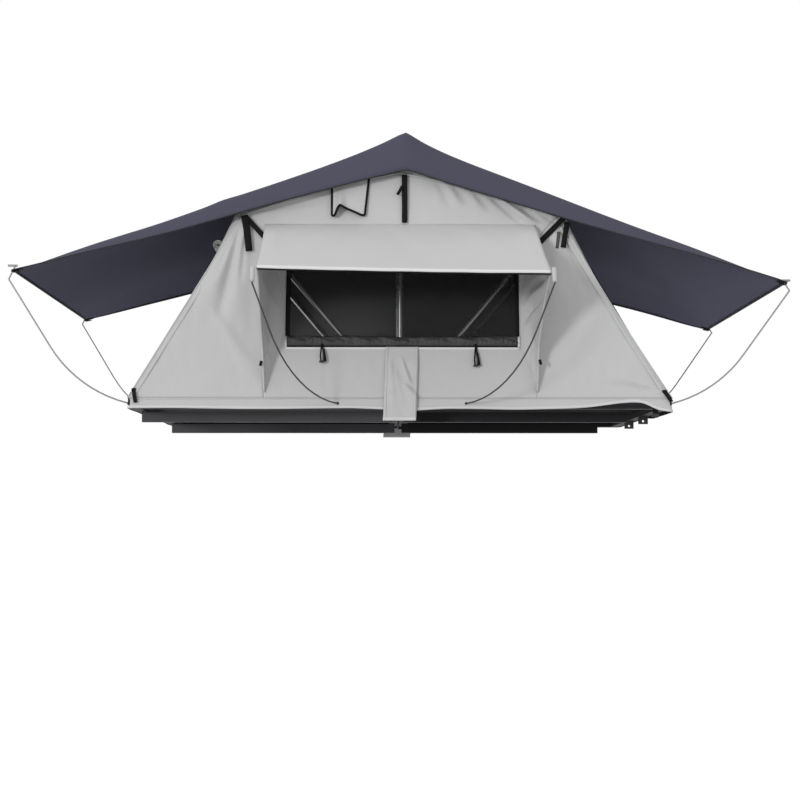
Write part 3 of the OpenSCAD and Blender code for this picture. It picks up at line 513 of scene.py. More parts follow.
FRONT_FOLDS = [
    (-0.705, 0.885, -0.800, 0.450, 0.020, -0.011),
    (-0.700, 0.880, -0.870, 0.480, 0.036, 0.012),
    (-0.695, 0.870, -0.735, 0.400, 0.040, 0.010),
    (-0.690, 0.800, -0.705, 0.600, 0.012, -0.006),
    (-0.735, 0.840, -0.815, 0.640, 0.010, -0.005),
    (-0.830, 0.480, -0.615, 0.150, 0.030, 0.007),
    (0.690, 0.860, 0.705, 0.480, 0.040, 0.007),
    (0.715, 0.870, 0.830, 0.560, 0.016, -0.007),
    (0.740, 0.860, 0.930, 0.500, 0.012, 0.006),
    (0.760, 0.840, 0.960, 0.470, 0.010, -0.005),
    (1.150, 0.120, 0.960, 0.190, 0.012, 0.005),
    (1.140, 0.130, 0.900, 0.150, 0.010, -0.004),
    (0.168, 1.060, 0.220, 0.950, 0.010, -0.007),
    (0.205, 1.050, 0.262, 0.950, 0.012, 0.006),
    (0.243, 1.030, 0.295, 0.960, 0.009, -0.006),
    (0.300, 1.020, 0.352, 0.940, 0.014, 0.006),
    (0.335, 1.000, 0.400, 0.930, 0.011, -0.007),
    (0.405, 0.990, 0.530, 0.880, 0.008, -0.015),
    (0.437, 0.985, 0.585, 0.875, 0.009, 0.015),
    (0.530, 0.955, 0.625, 0.880, 0.007, -0.012),
    (0.560, 0.950, 0.700, 0.892, 0.008, 0.013),
    (0.600, 0.938, 0.690, 0.875, 0.007, -0.010),
    (-0.330, 0.300, -0.322, 0.120, 0.008, -0.003),
    (-0.560, 0.965, -0.380, 1.000, 0.014, 0.004),
    (-0.600, 0.930, -0.360, 0.975, 0.012, -0.004),
]
FOLD_GAIN = 1.5

# Widths over which the walls are held flat: at the foot, along the edges, and beside and above the window
FOOT_HELD = 0.05
EDGE_HELD = 0.03
WINDOW_HELD = (0.05, 0.04)


def front_depth(x, z):
    """How far the front wall stands out from its plane."""
    at = place(x, z)
    free = FOLD_GAIN * folds(x, z, FRONT_FOLDS) + 0.0022 * waves(at, 0.34, 3) + 0.0008 * waves(at, 0.09, 4)
    below = np.minimum(z, SHOULDER_Z)
    half_width = np.where(x < 0, edge_x(below, -1), edge_x(below, 1))
    rim = smooth((z - WALL_Z) / FOOT_HELD) * smooth((half_width - np.abs(x)) / EDGE_HELD + 0.15)
    beside = np.maximum(WINDOW_X[0] - x, x - WINDOW_X[1]) / WINDOW_HELD[0]
    above = np.maximum(WINDOW_Z[0] - z, z - WINDOW_Z[1]) / WINDOW_HELD[1]
    return free * np.where(z < SHOULDER_Z, rim, 1) * smooth(np.maximum(beside, above))


def back_depth(x, z):
    at = place(x, z)
    return (0.003 * waves(at, 0.42, 8) + 0.001 * waves(at, 0.1, 9)) * smooth((z - WALL_Z) / FOOT_HELD)


def wall_rows():
    """Heights of the rows below the window's top, shares of the rows above it, and the sill's row."""
    low = np.linspace(WALL_Z, WINDOW_Z[0], 22)
    middle = np.linspace(WINDOW_Z[0], WINDOW_Z[1], 44)[1:]
    return np.concatenate([low, middle]), np.linspace(0, 1, 26)[1:], len(low) - 1


def cut_line(s):
    """The edge where a wall's middle piece meets its side piece, row by row."""
    rows, shares, _ = wall_rows()
    straight = mix(CUT_X[s][0], CUT_X[s][1], (rows - WALL_Z) / (WINDOW_Z[1] - WALL_Z))
    above = mix(CUT_X[s][1], s * SHOULDER_X, shares)
    x = np.concatenate([straight, above])
    z = np.concatenate([rows, mix(WINDOW_Z[1], wall_top(above), shares)])
    return x, z


def wall_sheet(name, x, z, front, hole=None):
    y = -WALL_Y - front_depth(x, z) if front else WALL_Y + back_depth(x, z)
    return surface(name, place(x, y, z), CANVAS, hole=hole, flip=not front, inside=CANVAS_INSIDE)


def walls(front):
    word = "front" if front else "back"
    rows, shares, sill = wall_rows()
    edges = {s: cut_line(s) for s in (-1, 1)}
    left, right = edges[-1][0], edges[1][0]
    before, over, after = COLUMNS_BY_WINDOW
    columns = np.concatenate([
        [mix(left, WINDOW_X[0], k / before) for k in range(before)],
        [np.full_like(left, mix(WINDOW_X[0], WINDOW_X[1], k / over)) for k in range(over)],
        [mix(WINDOW_X[1], right, k / after) for k in range(after + 1)],
    ])
    heights = np.broadcast_to(np.concatenate([rows, np.zeros_like(shares)]), columns.shape).copy()
    heights[:, len(rows):] = mix(WINDOW_Z[1], wall_top(columns[:, len(rows):]), shares)
    hole = np.zeros([n - 1 for n in columns.shape], bool)
    hole[before:before + over, sill:len(rows) - 1] = front
    middle = wall_sheet(f"{word}_wall_middle", columns, heights, front, hole)
    with_bow(middle)
    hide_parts(f"{word}_wall")
    for s, side in SIDES:
        x1, z1 = edges[s]
        across = np.linspace(0, 1, SIDE_COLUMNS)[:, None]
        x = mix(s * edge_x(z1, s), x1, across)
        z = np.broadcast_to(z1, x.shape).copy()
        piece = wall_sheet(f"{word}_wall_{side}", x[::-1] if s > 0 else x, z, front)
        with_half(piece, s)
        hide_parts(f"{word}_wall")


# Roof and end walls

ROOF_SAG = 0.010
# Heights of the doorway's sill and top, and of the end walls' top row, as shares of the way up
DOOR_SHARES = (0.04, 0.8)
END_TOP_SHARE = 0.997
END_OUT = unit([SHOULDER_Z - WALL_Z, 0, END_X - SHOULDER_X])


def roof():
    y = across_rows()
    shares = np.linspace(-0.996, 0.996, 41)
    mid = mid_crest(y)
    points = np.stack([mix(mid, side_crest(np.sign(t), y), abs(t)) for t in shares], 0)
    a, bend = np.abs(shares)[:, None], bend_share(y)
    points[..., 2] -= ROOF_SAG * 4 * a * (1 - a) * (1 - bend)
    points[..., 2] += 0.0012 * waves(points[..., :2], 0.3, 12) * (1 - bend)
    points[..., 2] += EAVE_RISE * np.sin(math.pi * a) * bend
    piece = surface("roof_cloth", points, CANVAS)
    with_bow(piece)
    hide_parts("tent_roof")


def end_point(s, y, t):
    """A point of an end wall, a share of the way up."""
    y = np.asarray(y, float)
    low = place(s * END_X, y, WALL_Z + 0.001)
    edge = side_crest(s, np.full_like(y, CLOTH_Y))
    edge[..., 1] = y
    sag = np.array([s * EDGE_SAG[s] * math.sin(math.pi * t), 0, 0])
    return mix(low, edge, t) + (side_crest(s, y) - edge) * t**4 - sag


def end_out(s):
    """Direction that an end wall faces."""
    return END_OUT * np.array([s, 1, 1])


def end_wall(s, word):
    y = across_rows()
    sill, top = DOOR_SHARES
    shares = np.concatenate([
        np.linspace(0, sill, 4)[:-1], np.linspace(sill, top, 37), np.linspace(top, END_TOP_SHARE, 11)[1:],
    ])
    points = np.stack([end_point(s, y, t) for t in shares], 1)
    flat = points[..., 1:]
    free = 0.004 * waves(flat, 0.5, 21 + s) + 0.0012 * waves(flat, 0.11, 31 + s)
    rim = smooth(shares / 0.08) * smooth((1 - shares) / 0.08)
    points = points + (free * rim * (1 - bend_share(y))[:, None])[..., None] * end_out(s)
    hole = None
    if s < 0:
        in_door = np.abs(0.5 * (y[:-1] + y[1:])) < BEND_Y
        middle = 0.5 * (shares[:-1] + shares[1:])
        hole = in_door[:, None] & ((middle > sill) & (middle < top))[None]
    piece = surface(f"end_wall_{word}_cloth", points, CANVAS, hole=hole, flip=s < 0)
    with_half(piece, s)
    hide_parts(f"end_wall_{word}")
    length = np.linalg.norm(end_point(s, 0.0, 1.0) - end_point(s, 0.0, 0.0))


def door_edge(s, word):
    """Zip tape round the doorway, and its coil."""
    out = end_out(s)
    sill, top = DOOR_SHARES
    corners = [(-BEND_Y, sill), (-BEND_Y, top), (BEND_Y, top), (BEND_Y, sill)]
    path = line([end_point(s, y, t) + 0.002 * out for y, t in corners], 0.03)
    tape = sweep("tape", path, out, band(0.026, 0.003), BINDING)
    coil = sweep("coil", path + 0.003 * out, out, cord_section(0.006, 6), BINDING)
    with_half(joined(f"door_zip_{word}", [tape, coil]), s)


PIPING = cord_section(0.006)
EDGE_TAPE_IN = 0.022
EDGE_TAPE_T = 0.0016


def corner_piping():
    """Piped seams along the edges between the walls, the ends and the roof."""
    for s, word in SIDES:
        tubes = []
        for f in (-1, 1):
            z = np.linspace(WALL_Z, SHOULDER_Z, 25)
            rise = place(s * edge_x(z, s), f * WALL_Y, z)
            tubes.append(sweep("edge", rise, (0, f, 0), PIPING, CANVAS))
            tape = rise - np.array([s * EDGE_TAPE_IN, f * -EDGE_TAPE_T, 0.0])
            tubes.append(sweep("edge", tape, (0, f, 0), band(0.014, EDGE_TAPE_T), SEAM))
        crest = side_crest(s, across_rows()) + 0.002 * end_out(s)
        tubes.append(sweep("edge", crest, end_out(s), PIPING, CANVAS))
        with_half(joined(f"edge_piping_{word}", tubes), s)
    x = np.linspace(-SHOULDER_X, SHOULDER_X, 61)
    eaves = [sweep("eave", place(x, f * WALL_Y, wall_top(x)), (0, f, 0), PIPING, CANVAS) for f in (-1, 1)]
    with_bow(joined("eave_piping", eaves))


# Fly

FLY_T = 0.0012
FLY_OUT = 0.018
FLY_BACK_LOWER = 0.015
FLY_CORNER_Z = {-1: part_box("fly_corner_tabs")[1].z - 0.0015, 1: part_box("fly_corner_tabs")[0].z + 0.0095}
FLY_SEAM_Y = 0.26
RIDGE_ROUND = 0.006
APEX_SHIFT, APEX_RISE = 0.028, 0.003
FRONT_VALANCE, BACK_VALANCE = 0.226, 0.236

# Creases that run in from each corner, for the right back corner
CORNER_FOLDS = (
    (1.66, 0.74, 1.05, 0.30, 0.05, 0.003), (1.66, 0.74, 0.95, 0.58, 0.03, -0.002),
    (1.66, 0.72, 1.55, 0.15, 0.04, 0.003),
)
FLY_FOLDS = [
    (s * x0, f * y0, s * x1, f * y1, width, height)
    for x0, y0, x1, y1, width, height in CORNER_FOLDS for s in (-1, 1) for f in (-1, 1)
]

# Heights of the half waves along each slope that swell the fly and lengthen its valance
FLY_SWELL = {-1: (0.001, -0.014, 0.004, -0.006), 1: (0.010, -0.017, 0.003, -0.006)}
VALANCE_MORE = {-1: (0.010, -0.018, 0.002, -0.005), 1: (0.013, -0.012, 0.001, -0.004)}
BACK_MORE = {-1: (0.002, 0.024), 1: (0.028, 0.014)}


def half_waves(a, heights):
    return sum(h * np.sin((k + 1) * math.pi * a) for k, h in enumerate(heights))


def back_waves(a, heights):
    """Waves that gather towards the fly's ends."""
    return heights[0] * np.sin(math.pi * a**2) + heights[1] * np.sin(math.pi * a**4)


def fly_points(share, y):
    """The fly's outer face over shares of its length and places across its depth."""
    share, y = np.broadcast_arrays(share, y)
    a, left = np.abs(share), share < 0

    def by_side(make, heights):
        return np.where(left, make(a, heights[-1]), make(a, heights[1]))

    hang = np.clip((np.abs(y) - RIDGE_HALF) / (FLY_Y - RIDGE_HALF), 0, 1)
    corner = np.where(left, FLY_CORNER_Z[-1], FLY_CORNER_Z[1]) - FLY_BACK_LOWER * (0.5 + 0.5 * y / FLY_Y)
    x = share * (FLY_HALF + FLY_OUT) + APEX_SHIFT * smooth((-y - 0.48) / 0.09) * (1 - a) ** 3
    fall = np.hypot(a, RIDGE_ROUND) - RIDGE_ROUND * (1 - a)
    left_slack = 0.012 * np.sin(math.pi * np.clip(a / 0.45, 0, 1)) - 0.006 * hump(a, 0.475, 0.03)
    right_slack = 0.0135 * a / 0.1 * np.exp(1 - a / 0.1)
    front = FRONT_VALANCE * (1 - a) + by_side(half_waves, VALANCE_MORE)
    back = BACK_VALANCE * (1 - a) + by_side(back_waves, BACK_MORE)
    z = mix(FLY_TOP + APEX_RISE, corner, fall) + by_side(half_waves, FLY_SWELL)
    z = z - np.where(y < 0, front, back) * hang**2.2 - np.where(left, left_slack, right_slack) * (1 - hang)
    free = folds(x, y, FLY_FOLDS) + 0.002 * waves(place(x, y), 0.55, 41)
    return place(x, y, z + smooth((1 - a) / 0.04) * smooth(a / 0.06) * free)


FLY_EDGE_SECTION = [
    (-0.0016, -0.010), (0.0016, -0.010), (0.0024, -0.003),
    (0.0016, 0.001), (-0.0016, 0.001), (-0.0028, -0.003),
]


def fly():
    shares = np.linspace(-1, 1, 141)
    hang = mix(RIDGE_HALF, FLY_Y, np.linspace(0, 1, 15)[1:])
    y = np.concatenate([-hang[::-1], np.linspace(-RIDGE_HALF, RIDGE_HALF, 33), hang])
    points = fly_points(shares[:, None], y[None])
    # The inner face is painted lighter, as painted light coming through the fly
    piece = surface("fly_cloth", points, FLY, thick=FLY_T, inside=FLY_INSIDE_PAINTED_LIT)
    with_bow(piece)
    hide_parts("fly_sheet")
    rim = np.concatenate([points[:, 0], points[-1, 1:], points[-2::-1, -1], points[0, -2:0:-1]])
    sides = (
        (FRONT, len(points)), ((1, 0, 0), len(y) - 1), (BACK, len(points) - 1), ((-1, 0, 0), len(y) - 2),
    )
    out = np.concatenate([np.tile(way, (count, 1)) for way, count in sides])
    edge = sweep("fly_edge_binding", rim, out, FLY_EDGE_SECTION, FLY_BINDING, closed=True)
    with_bow(edge)
    seams = []
    for v in (-FLY_SEAM_Y, FLY_SEAM_Y):
        path = fly_points(shares[4:-4], v) + np.array([0, 0, 0.0004])
        seams.append(sweep("seam", path, UP, band(0.014, 0.0014), FLY))
    with_bow(joined("fly_seams", seams))


# A corner loop's run, out from the fly's end and up from its corner, and how far in from the edge it is
LOOP_RUN = (
    (-0.026, 0.008), (-0.004, 0.003), (0.016, -0.002), (0.020, -0.005), (0.015, -0.008), (-0.016, -0.002),
)
LOOP_IN = {-1: 0.012, 1: 0.024}


def fly_tabs():
    """Webbing loops at the fly's corners that take the rods' tips."""
    tabs = []
    for s in (-1, 1):
        for f in (-1, 1):
            z = FLY_CORNER_Z[s] - (FLY_BACK_LOWER if f > 0 else 0)
            path = [(s * (FLY_HALF + out), f * (FLY_Y - LOOP_IN[s]), z + up) for out, up in LOOP_RUN]
            tabs.append(sweep("tab", path, BACK, band(0.003, 0.023, -0.0115), WEBBING))
    piece = joined("fly_corner_loops", tabs)
    with_bow(piece)
    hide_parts("fly_corner_tabs")


# Straps on the front wall: width, webbing, and points of (x, z, distance out from the wall)

STRAP_T, STRAP_LIFT = 0.0022, 0.0035
STRAPS = (
    (0.025, WEBBING, ((0.018, 1.086, 0.012), (0.019, 0.985, 0.010), (0.019, 0.872, 0.004))),
    (0.014, WEBBING, ((0.008, 1.033, 0.016), (-0.002, 1.012, 0.020), (-0.014, 0.994, 0.022))),
    (0.031, WEBBING, ((-0.692, 0.902, 0.014), (-0.680, 0.840, 0.014), (-0.669, 0.742, 0.012))),
    (0.022, WEBBING, ((-0.684, 0.894, 0.012), (-0.594, 0.796, 0.006))),
    (0.024, WEBBING, ((0.728, 0.896, 0.014), (0.620, 0.786, 0.006))),
    (0.024, WEBBING, ((0.740, 0.874, 0.014), (0.722, 0.760, 0.012))),
    (0.015, GREY_WEBBING, ((0.704, 0.832, 0.008), (0.695, 0.757, 0.008))),
)


def straps():
    pieces = []
    for width, material, points in STRAPS:
        path = line([(x, -WALL_Y - out, z) for x, z, out in points], 0.015)
        pieces.append(sweep("strap", path, FRONT, band(width, STRAP_T, STRAP_LIFT), material))
    piece = joined("fly_tie_straps", pieces)
    with_bow(piece)
    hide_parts("fly_straps")


# Window

MESH_LAP = 0.004
MESH_SLACK = 0.008
GATHER_TOP = WINDOW_Z[0] + 0.046
TRIM_T = 0.003
TRIM_HOOK = 0.014
# Trims up the sides as (x, lean at the top, width), and level ones as (z, width)
SIDE_TRIMS = ((WINDOW_X[0] + 0.007, 0.010, 0.020), (WINDOW_X[1] - 0.006, -0.020, 0.012))
LEVEL_TRIMS = ((WINDOW_Z[1], 0.020), (WINDOW_Z[0], 0.008))


def window():
    x = np.linspace(WINDOW_X[0] - MESH_LAP, WINDOW_X[1] + MESH_LAP, 60)
    z = np.linspace(WINDOW_Z[0] - MESH_LAP, WINDOW_Z[1] + MESH_LAP, 30)
    width, height = x[-1] - x[0], z[-1] - z[0]
    gx, gz = grid(x, z)
    slack = MESH_SLACK * np.sin(np.pi * (gx - x[0]) / width) * np.sin(np.pi * (gz - z[0]) / height)
    screen = surface("window_mesh", place(gx, -WALL_Y + MESH_LAP + slack, gz), MESH, thick=0)
    with_bow(screen)
    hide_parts("window_screen")
    window_trim()
    gather()
    toggles()


def window_trim():
    """Black binding round the window, and the light hem below and beside the gathered cover."""
    y = -WALL_Y - 0.001
    t = np.linspace(0, 1, 25)
    trims = []
    for x, lean, wide in SIDE_TRIMS:
        bow = lean * t**2 + math.copysign(TRIM_HOOK, lean) * smooth((t - 0.84) / 0.16)
        path = place(x + bow, y, mix(GATHER_TOP, WINDOW_Z[1], t))
        trims.append(sweep("trim", path, FRONT, band(wide, TRIM_T), BINDING))
    for z, wide in LEVEL_TRIMS:
        path = line([(WINDOW_X[0] + 0.004, y, z), (WINDOW_X[1] - 0.006, y, z)])
        trims.append(sweep("trim", path, FRONT, band(wide, TRIM_T), BINDING))
    with_bow(joined("window_trim", trims))
    z = WINDOW_Z[0] - 0.009
    sill = line([(WINDOW_X[0] - 0.002, y, z), (WINDOW_X[1] + 0.004, y, z)])
    hems = [sweep("hem", sill, FRONT, band(0.010, 0.002), HEM)]
    for x in (WINDOW_X[0] - 0.002, WINDOW_X[1] - 0.002):
        rise = line([(x, y, WINDOW_Z[0] - 0.004), (x, y, GATHER_TOP - 0.004)])
        hems.append(sweep("hem", rise, FRONT, band(0.011, 0.004), HEM))
    with_bow(joined("window_sill_hem", hems))


def gather():
    """The rolled and gathered strip of the screen's cover along the sill, with its tail tucked below."""
    x = np.linspace(WINDOW_X[0] + 0.006, WINDOW_X[1] - 0.010, 230)
    gx, turn = grid(x, np.linspace(-0.5, 1, 13))
    up = np.clip(turn, 0, 1)
    at = place(gx, turn * 0.05)
    crinkle = 0.006 * waves(at, 0.06, 51) + 0.005 * waves(at, 0.024, 52)
    out = 0.010 * np.sin(np.pi * up) ** 0.8 + crinkle * np.sin(np.pi * np.clip(turn, 0.02, 0.98))
    foot = WINDOW_Z[0] + 0.002
    y = np.where(turn < 0, -WALL_Y - 0.002, -WALL_Y - 0.004 - out)
    z = np.where(turn < 0, foot - 0.002 * turn, foot + 0.043 * up + 0.004 * waves(at, 0.2, 53) * up)
    piece = surface("gathered_cover", place(gx, y, z), GATHERED, thick=0.001)
    with_bow(piece)
    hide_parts("screen_gather")


# Tie loops below the sill as (x, how far they hang), and the run of a loop, its tail and its bar

TOGGLES = ((-0.345, 0.010), (0.333, 0.028))
TOGGLE_LOOP = np.array([
    (-0.004, -0.006, 0), (-0.007, -0.008, -0.030), (-0.005, -0.008, -0.052), (0.001, -0.009, -0.062),
    (0.008, -0.008, -0.052), (0.009, -0.007, -0.028), (0.004, -0.006, 0),
])
TOGGLE_TAIL = np.array([(0.006, -0.006, 0), (0.016, -0.010, -0.056)])
TOGGLE_BAR = np.array([(-0.012, -0.012, -0.058), (0.014, -0.012, -0.055)])


def toggles():
    loops = []
    for x, drop in TOGGLES:
        at = np.array([x, -WALL_Y - 0.004, WINDOW_Z[0] - 0.002 - drop])
        top = at + (0, 0, drop + 0.012)
        loop = [top, *(at + TOGGLE_LOOP), top + (0.001, 0, 0)]
        loops.append(sweep("loop", loop, FRONT, band(0.0065, 0.0065), WEBBING))
        loops.append(sweep("loop", line(at + TOGGLE_TAIL, 0.01), FRONT, band(0.010, 0.002), WEBBING))
        loops.append(sweep("loop", line(at + TOGGLE_BAR, 0.006), FRONT, cord_section(0.009), PLASTIC))
    piece = joined("window_tie_loops", loops)
    with_bow(piece)
    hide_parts("window_toggles")


# Awning

AWNING_SEAM_X = (-0.600, 0.600)
AWNING_EDGE_X = (-0.589, 0.610)
AWNING_EDGE_Z = 0.584
AWNING_SUNK = 0.004
EDGE_TILT = 0.009
POCKET_LENGTH = 0.057

# Creases in shares along the seam and out from it
AWNING_FOLDS = [
    (0.28, 0.05, 0.10, 0.80, 0.05, 0.006), (0.45, 0.10, 0.62, 0.95, 0.05, -0.004),
    (0.74, 0.05, 0.92, 0.85, 0.05, 0.005), (0.03, 0.05, 0.05, 0.95, 0.03, 0.004),
    (0.97, 0.05, 0.955, 0.95, 0.03, 0.004),
]


def awning_points(u, v):
    """The awning's upper face: u runs along the seam, and v from the seam to the outer edge."""
    x = mix(mix(*AWNING_SEAM_X, u), mix(*AWNING_EDGE_X, u), v)
    y = mix(-WALL_Y + AWNING_SUNK, AWNING_EDGE_Y, v)
    sag = 0.040 * v * (1 - v) + 0.012 * u * (1 - u) * v
    free = folds(u, v, AWNING_FOLDS) + 0.0015 * waves(place(x, y), 0.3, 61)
    z = mix(AWNING_Z, AWNING_EDGE_Z + EDGE_TILT * (1 - 2 * u), v) - sag + free * smooth(v / 0.15)
    return place(x, y, z)


def rod_pockets():
    """Sewn sleeves at the awning's corners that take the rods' tips."""
    sleeves = []
    for s, word in SIDES:
        low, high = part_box(f"awning_rod_{word}_side")
        x = (low if s < 0 else high).x - FOLD_X - s * 0.004
        y = low.y + 0.003
        path = line([(x - s * 0.003, y, high.z + 0.003), (x, y, high.z - POCKET_LENGTH)], 0.011)
        sleeves.append(sweep("pocket", path, FRONT, cord_section(0.019, 12), CANVAS))
    with_bow(joined("awning_rod_pockets", sleeves), body="awning")


def awning():
    points = awning_points(*grid(np.linspace(0, 1, 91), np.linspace(0, 1, 41)))
    panel = surface("awning_cloth", points, CANVAS, flip=True)
    with_bow(panel, body="awning")
    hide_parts("awning_panel")
    hem_path = points[:, -1] + np.array([0, -0.001, -0.006])
    hem = sweep("awning_hem", hem_path, FRONT, band(0.013, 0.003), HEM)
    with_bow(hem, body="awning")
    # Black piping under the hem, which also stands for the painted shadow under the hem's roll
    piping_and_shadow_path = hem_path + np.array([0, 0.003, -0.0085])
    tape = sweep("awning_edge_tape", piping_and_shadow_path, FRONT, band(0.009, 0.003), BINDING)
    with_bow(tape, body="awning")
    rod_pockets()
    for k, (s, word) in enumerate(SIDES):
        gusset(k, s, word)


# Gussets, left and right: the line up the wall beside the window as (share, x, z), and the hem from the
# foot to the awning's corner as (share, x, y, z)

GUSSET_FOOT_Z = 0.112
GUSSET_BOW = 0.2
TAB_SHARE = 0.235
GUSSET_WALL = (
    ((0, -0.600, GUSSET_FOOT_Z), (0.28, -0.546, 0.296), (0.36, -0.516, 0.352), (0.55, -0.512, 0.520),
     (1, -0.598, 0.868)),
    ((0, 0.604, GUSSET_FOOT_Z), (0.28, 0.562, 0.262), (0.36, 0.530, 0.330), (0.55, 0.532, 0.520),
     (1, 0.598, 0.868)),
)
GUSSET_HEM = (
    ((0, -0.600, -0.704, GUSSET_FOOT_Z), (0.35, -0.600, -0.800, 0.300), (0.7, -0.598, -1.000, 0.470),
     (1, -0.589, -1.198, 0.566)),
    ((0, 0.604, -0.704, GUSSET_FOOT_Z), (0.35, 0.600, -0.800, 0.310), (0.7, 0.604, -1.000, 0.470),
     (1, 0.610, -1.198, 0.558)),
)
# Creases in shares up the gusset and out from the wall
GUSSET_FOLDS = (
    ((0.10, 0.1, 0.40, 0.8, 0.05, 0.008), (0.26, 0.0, 0.34, 0.9, 0.03, -0.008),
     (0.55, 0.2, 0.85, 0.9, 0.06, 0.006)),
    ((0.15, 0.1, 0.45, 0.9, 0.04, 0.012), (0.30, 0.0, 0.42, 1.0, 0.03, -0.012),
     (0.40, 0.1, 0.62, 0.8, 0.018, 0.016), (0.47, 0.1, 0.69, 0.8, 0.016, -0.016),
     (0.54, 0.1, 0.78, 0.8, 0.018, 0.016), (0.62, 0.1, 0.86, 0.8, 0.018, -0.014),
     (0.70, 0.2, 0.92, 0.9, 0.02, 0.012)),
)


def read_off(table, t, rounding=12):
    """Points read off a table of (share, coordinates), with rounded corners."""
    rows = np.array(table)
    shares = np.linspace(0, 1, 201)
    mean = np.full(2 * rounding + 1, 1 / (2 * rounding + 1))
    made = []
    for k in range(1, rows.shape[1]):
        values = np.interp(shares, rows[:, 0], rows[:, k])
        before = 2 * values[0] - values[rounding:0:-1]
        after = 2 * values[-1] - values[-2:-2 - rounding:-1]
        padded = np.concatenate([before, values, after])
        made.append(np.interp(t, shares, np.convolve(padded, mean, "valid")))
    return np.stack(made, -1)


def gusset(k, s, word):
    """Cloth between the wall beside the window and the awning: its hem runs from the foot to the corner."""
    t, v = grid(np.linspace(0.01, 1, 61), np.linspace(0, 1, 41))
    wall = read_off(GUSSET_WALL[k], t)
    inner = place(wall[..., 0], -WALL_Y - 0.003, wall[..., 1])
    bow = GUSSET_BOW * np.sin(math.pi * v)
    points = mix(inner, read_off(GUSSET_HEM[k], t), place(v + bow, v - bow, v))
    top = awning_points(np.full_like(v, float(k)), v) - np.array([0, 0, 0.004])
    points = points + (top[-1:] - points[-1:]) * smooth((t - 0.5) / 0.5)[..., None]
    free = folds(t, v, GUSSET_FOLDS[k]) + 0.0025 * waves(place(t, v * 0.7), 0.45, 71 + k)
    points[..., 0] -= s * free * np.sin(np.pi * np.clip(v, 0, 1)) ** 0.5 * smooth((1 - t) / 0.1)
    piece = surface(f"awning_gusset_{word}", points, CANVAS, flip=s > 0)
    with_bow(piece, body="awning")
    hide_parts("awning_gussets")
    hem = sweep(f"gusset_hem_{word}", points[:, -1], FRONT, band(0.008, 0.0024, -0.001), SEAM)
    with_bow(hem, body="awning")
    at = read_off(GUSSET_HEM[k], np.array([TAB_SHARE]))[0]
    tab_path = line([at + (s * 0.006, -0.004, 0.009), at + (s * 0.011, -0.006, -0.013)], 0.008)
    tab = sweep(f"gusset_tab_{word}", tab_path, FRONT, band(0.012, 0.004), WEBBING)
    with_bow(tab, body="awning")


# Skirts

SKIRT_CORNER = 0.022


def skirt_low(x, y, s):
    """Height of the skirt's lower edge: it dips at the fold, and lifts along the front of the right half."""
    a = np.clip(np.abs(x) / END_X, 0, 1)
    dip = 1 - smooth(a / 0.2)
    if s < 0:
        return BASE_LOW - 0.006 * dip + 0.002 * np.sin(9 * a)
    peak = 0.028 * hump(a, 0.86, 0.14) - 0.025 * smooth((a - 0.88) / 0.08)
    return BASE_LOW - 0.010 * dip - 0.004 * hump(a, 0.42, 0.12) + peak * smooth(-y / 0.3)


def skirt(s, word):
    x1, y1, r = END_X, WALL_Y, SKIRT_CORNER
    turn = np.linspace(0, math.pi / 2, 7)[1:-1]
    half = np.concatenate([
        place(np.linspace(0.003, x1 - r, 60), -y1),
        place(x1 - r + r * np.sin(turn), -y1 + r - r * np.cos(turn)),
        place(x1, np.linspace(-y1 + r, 0, 30)),
    ])
    plan = np.concatenate([half, half[-2::-1] * np.array([1, -1])])
    out = unit(place(np.gradient(plan[:, 1]), -np.gradient(plan[:, 0])))
    rows = np.linspace(0, 1, 9)
    z = mix(skirt_low(plan[:, 0], plan[:, 1], s)[:, None], WALL_Z, rows)
    wobble = (0.0025 * waves(plan, 0.26, 81 + s) + 0.002)[:, None] * (1 - rows) ** 1.5
    points = place((plan[:, :1] + out[:, :1] * wobble) * s, plan[:, 1:] + out[:, 1:] * wobble, z)
    piece = surface(f"skirt_{word}_cloth", points, CANVAS, flip=s < 0, inside=LINING)
    with_half(piece, s, squash=False)
    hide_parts(f"skirt_{word}")
    normal = place(out[:, 0] * s, out[:, 1], 0.0)
    hem = sweep("hem", points[:, 0] + np.array([0, 0, 0.006]), normal, band(0.013, 0.002, 0.0004), SOFT_HEM)
    top = sweep("hem", points[:, -1] + np.array([0, 0, -0.004]), normal, band(0.004, 0.0010, 0.0004), CANVAS)
    bands = joined(f"skirt_{word}_hems", [hem, top])
    with_half(bands, s, squash=False)


# Flaps over the fold line

FLAP_X = (-0.065, 0.080)
FLAP_TOP, FLAP_LOW = WINDOW_Z[0] - 0.003, -0.009
FLAP_FOLDS = [
    (0.006, 0.270, 0.052, 0.130, 0.010, 0.011), (0.020, 0.250, 0.062, 0.140, 0.008, -0.009),
    (0.014, 0.150, 0.070, 0.085, 0.012, 0.012), (0.026, 0.170, 0.078, 0.110, 0.008, -0.008),
    (-0.045, 0.260, -0.030, 0.060, 0.014, 0.006), (-0.020, 0.210, 0.010, 0.060, 0.014, 0.005),
]


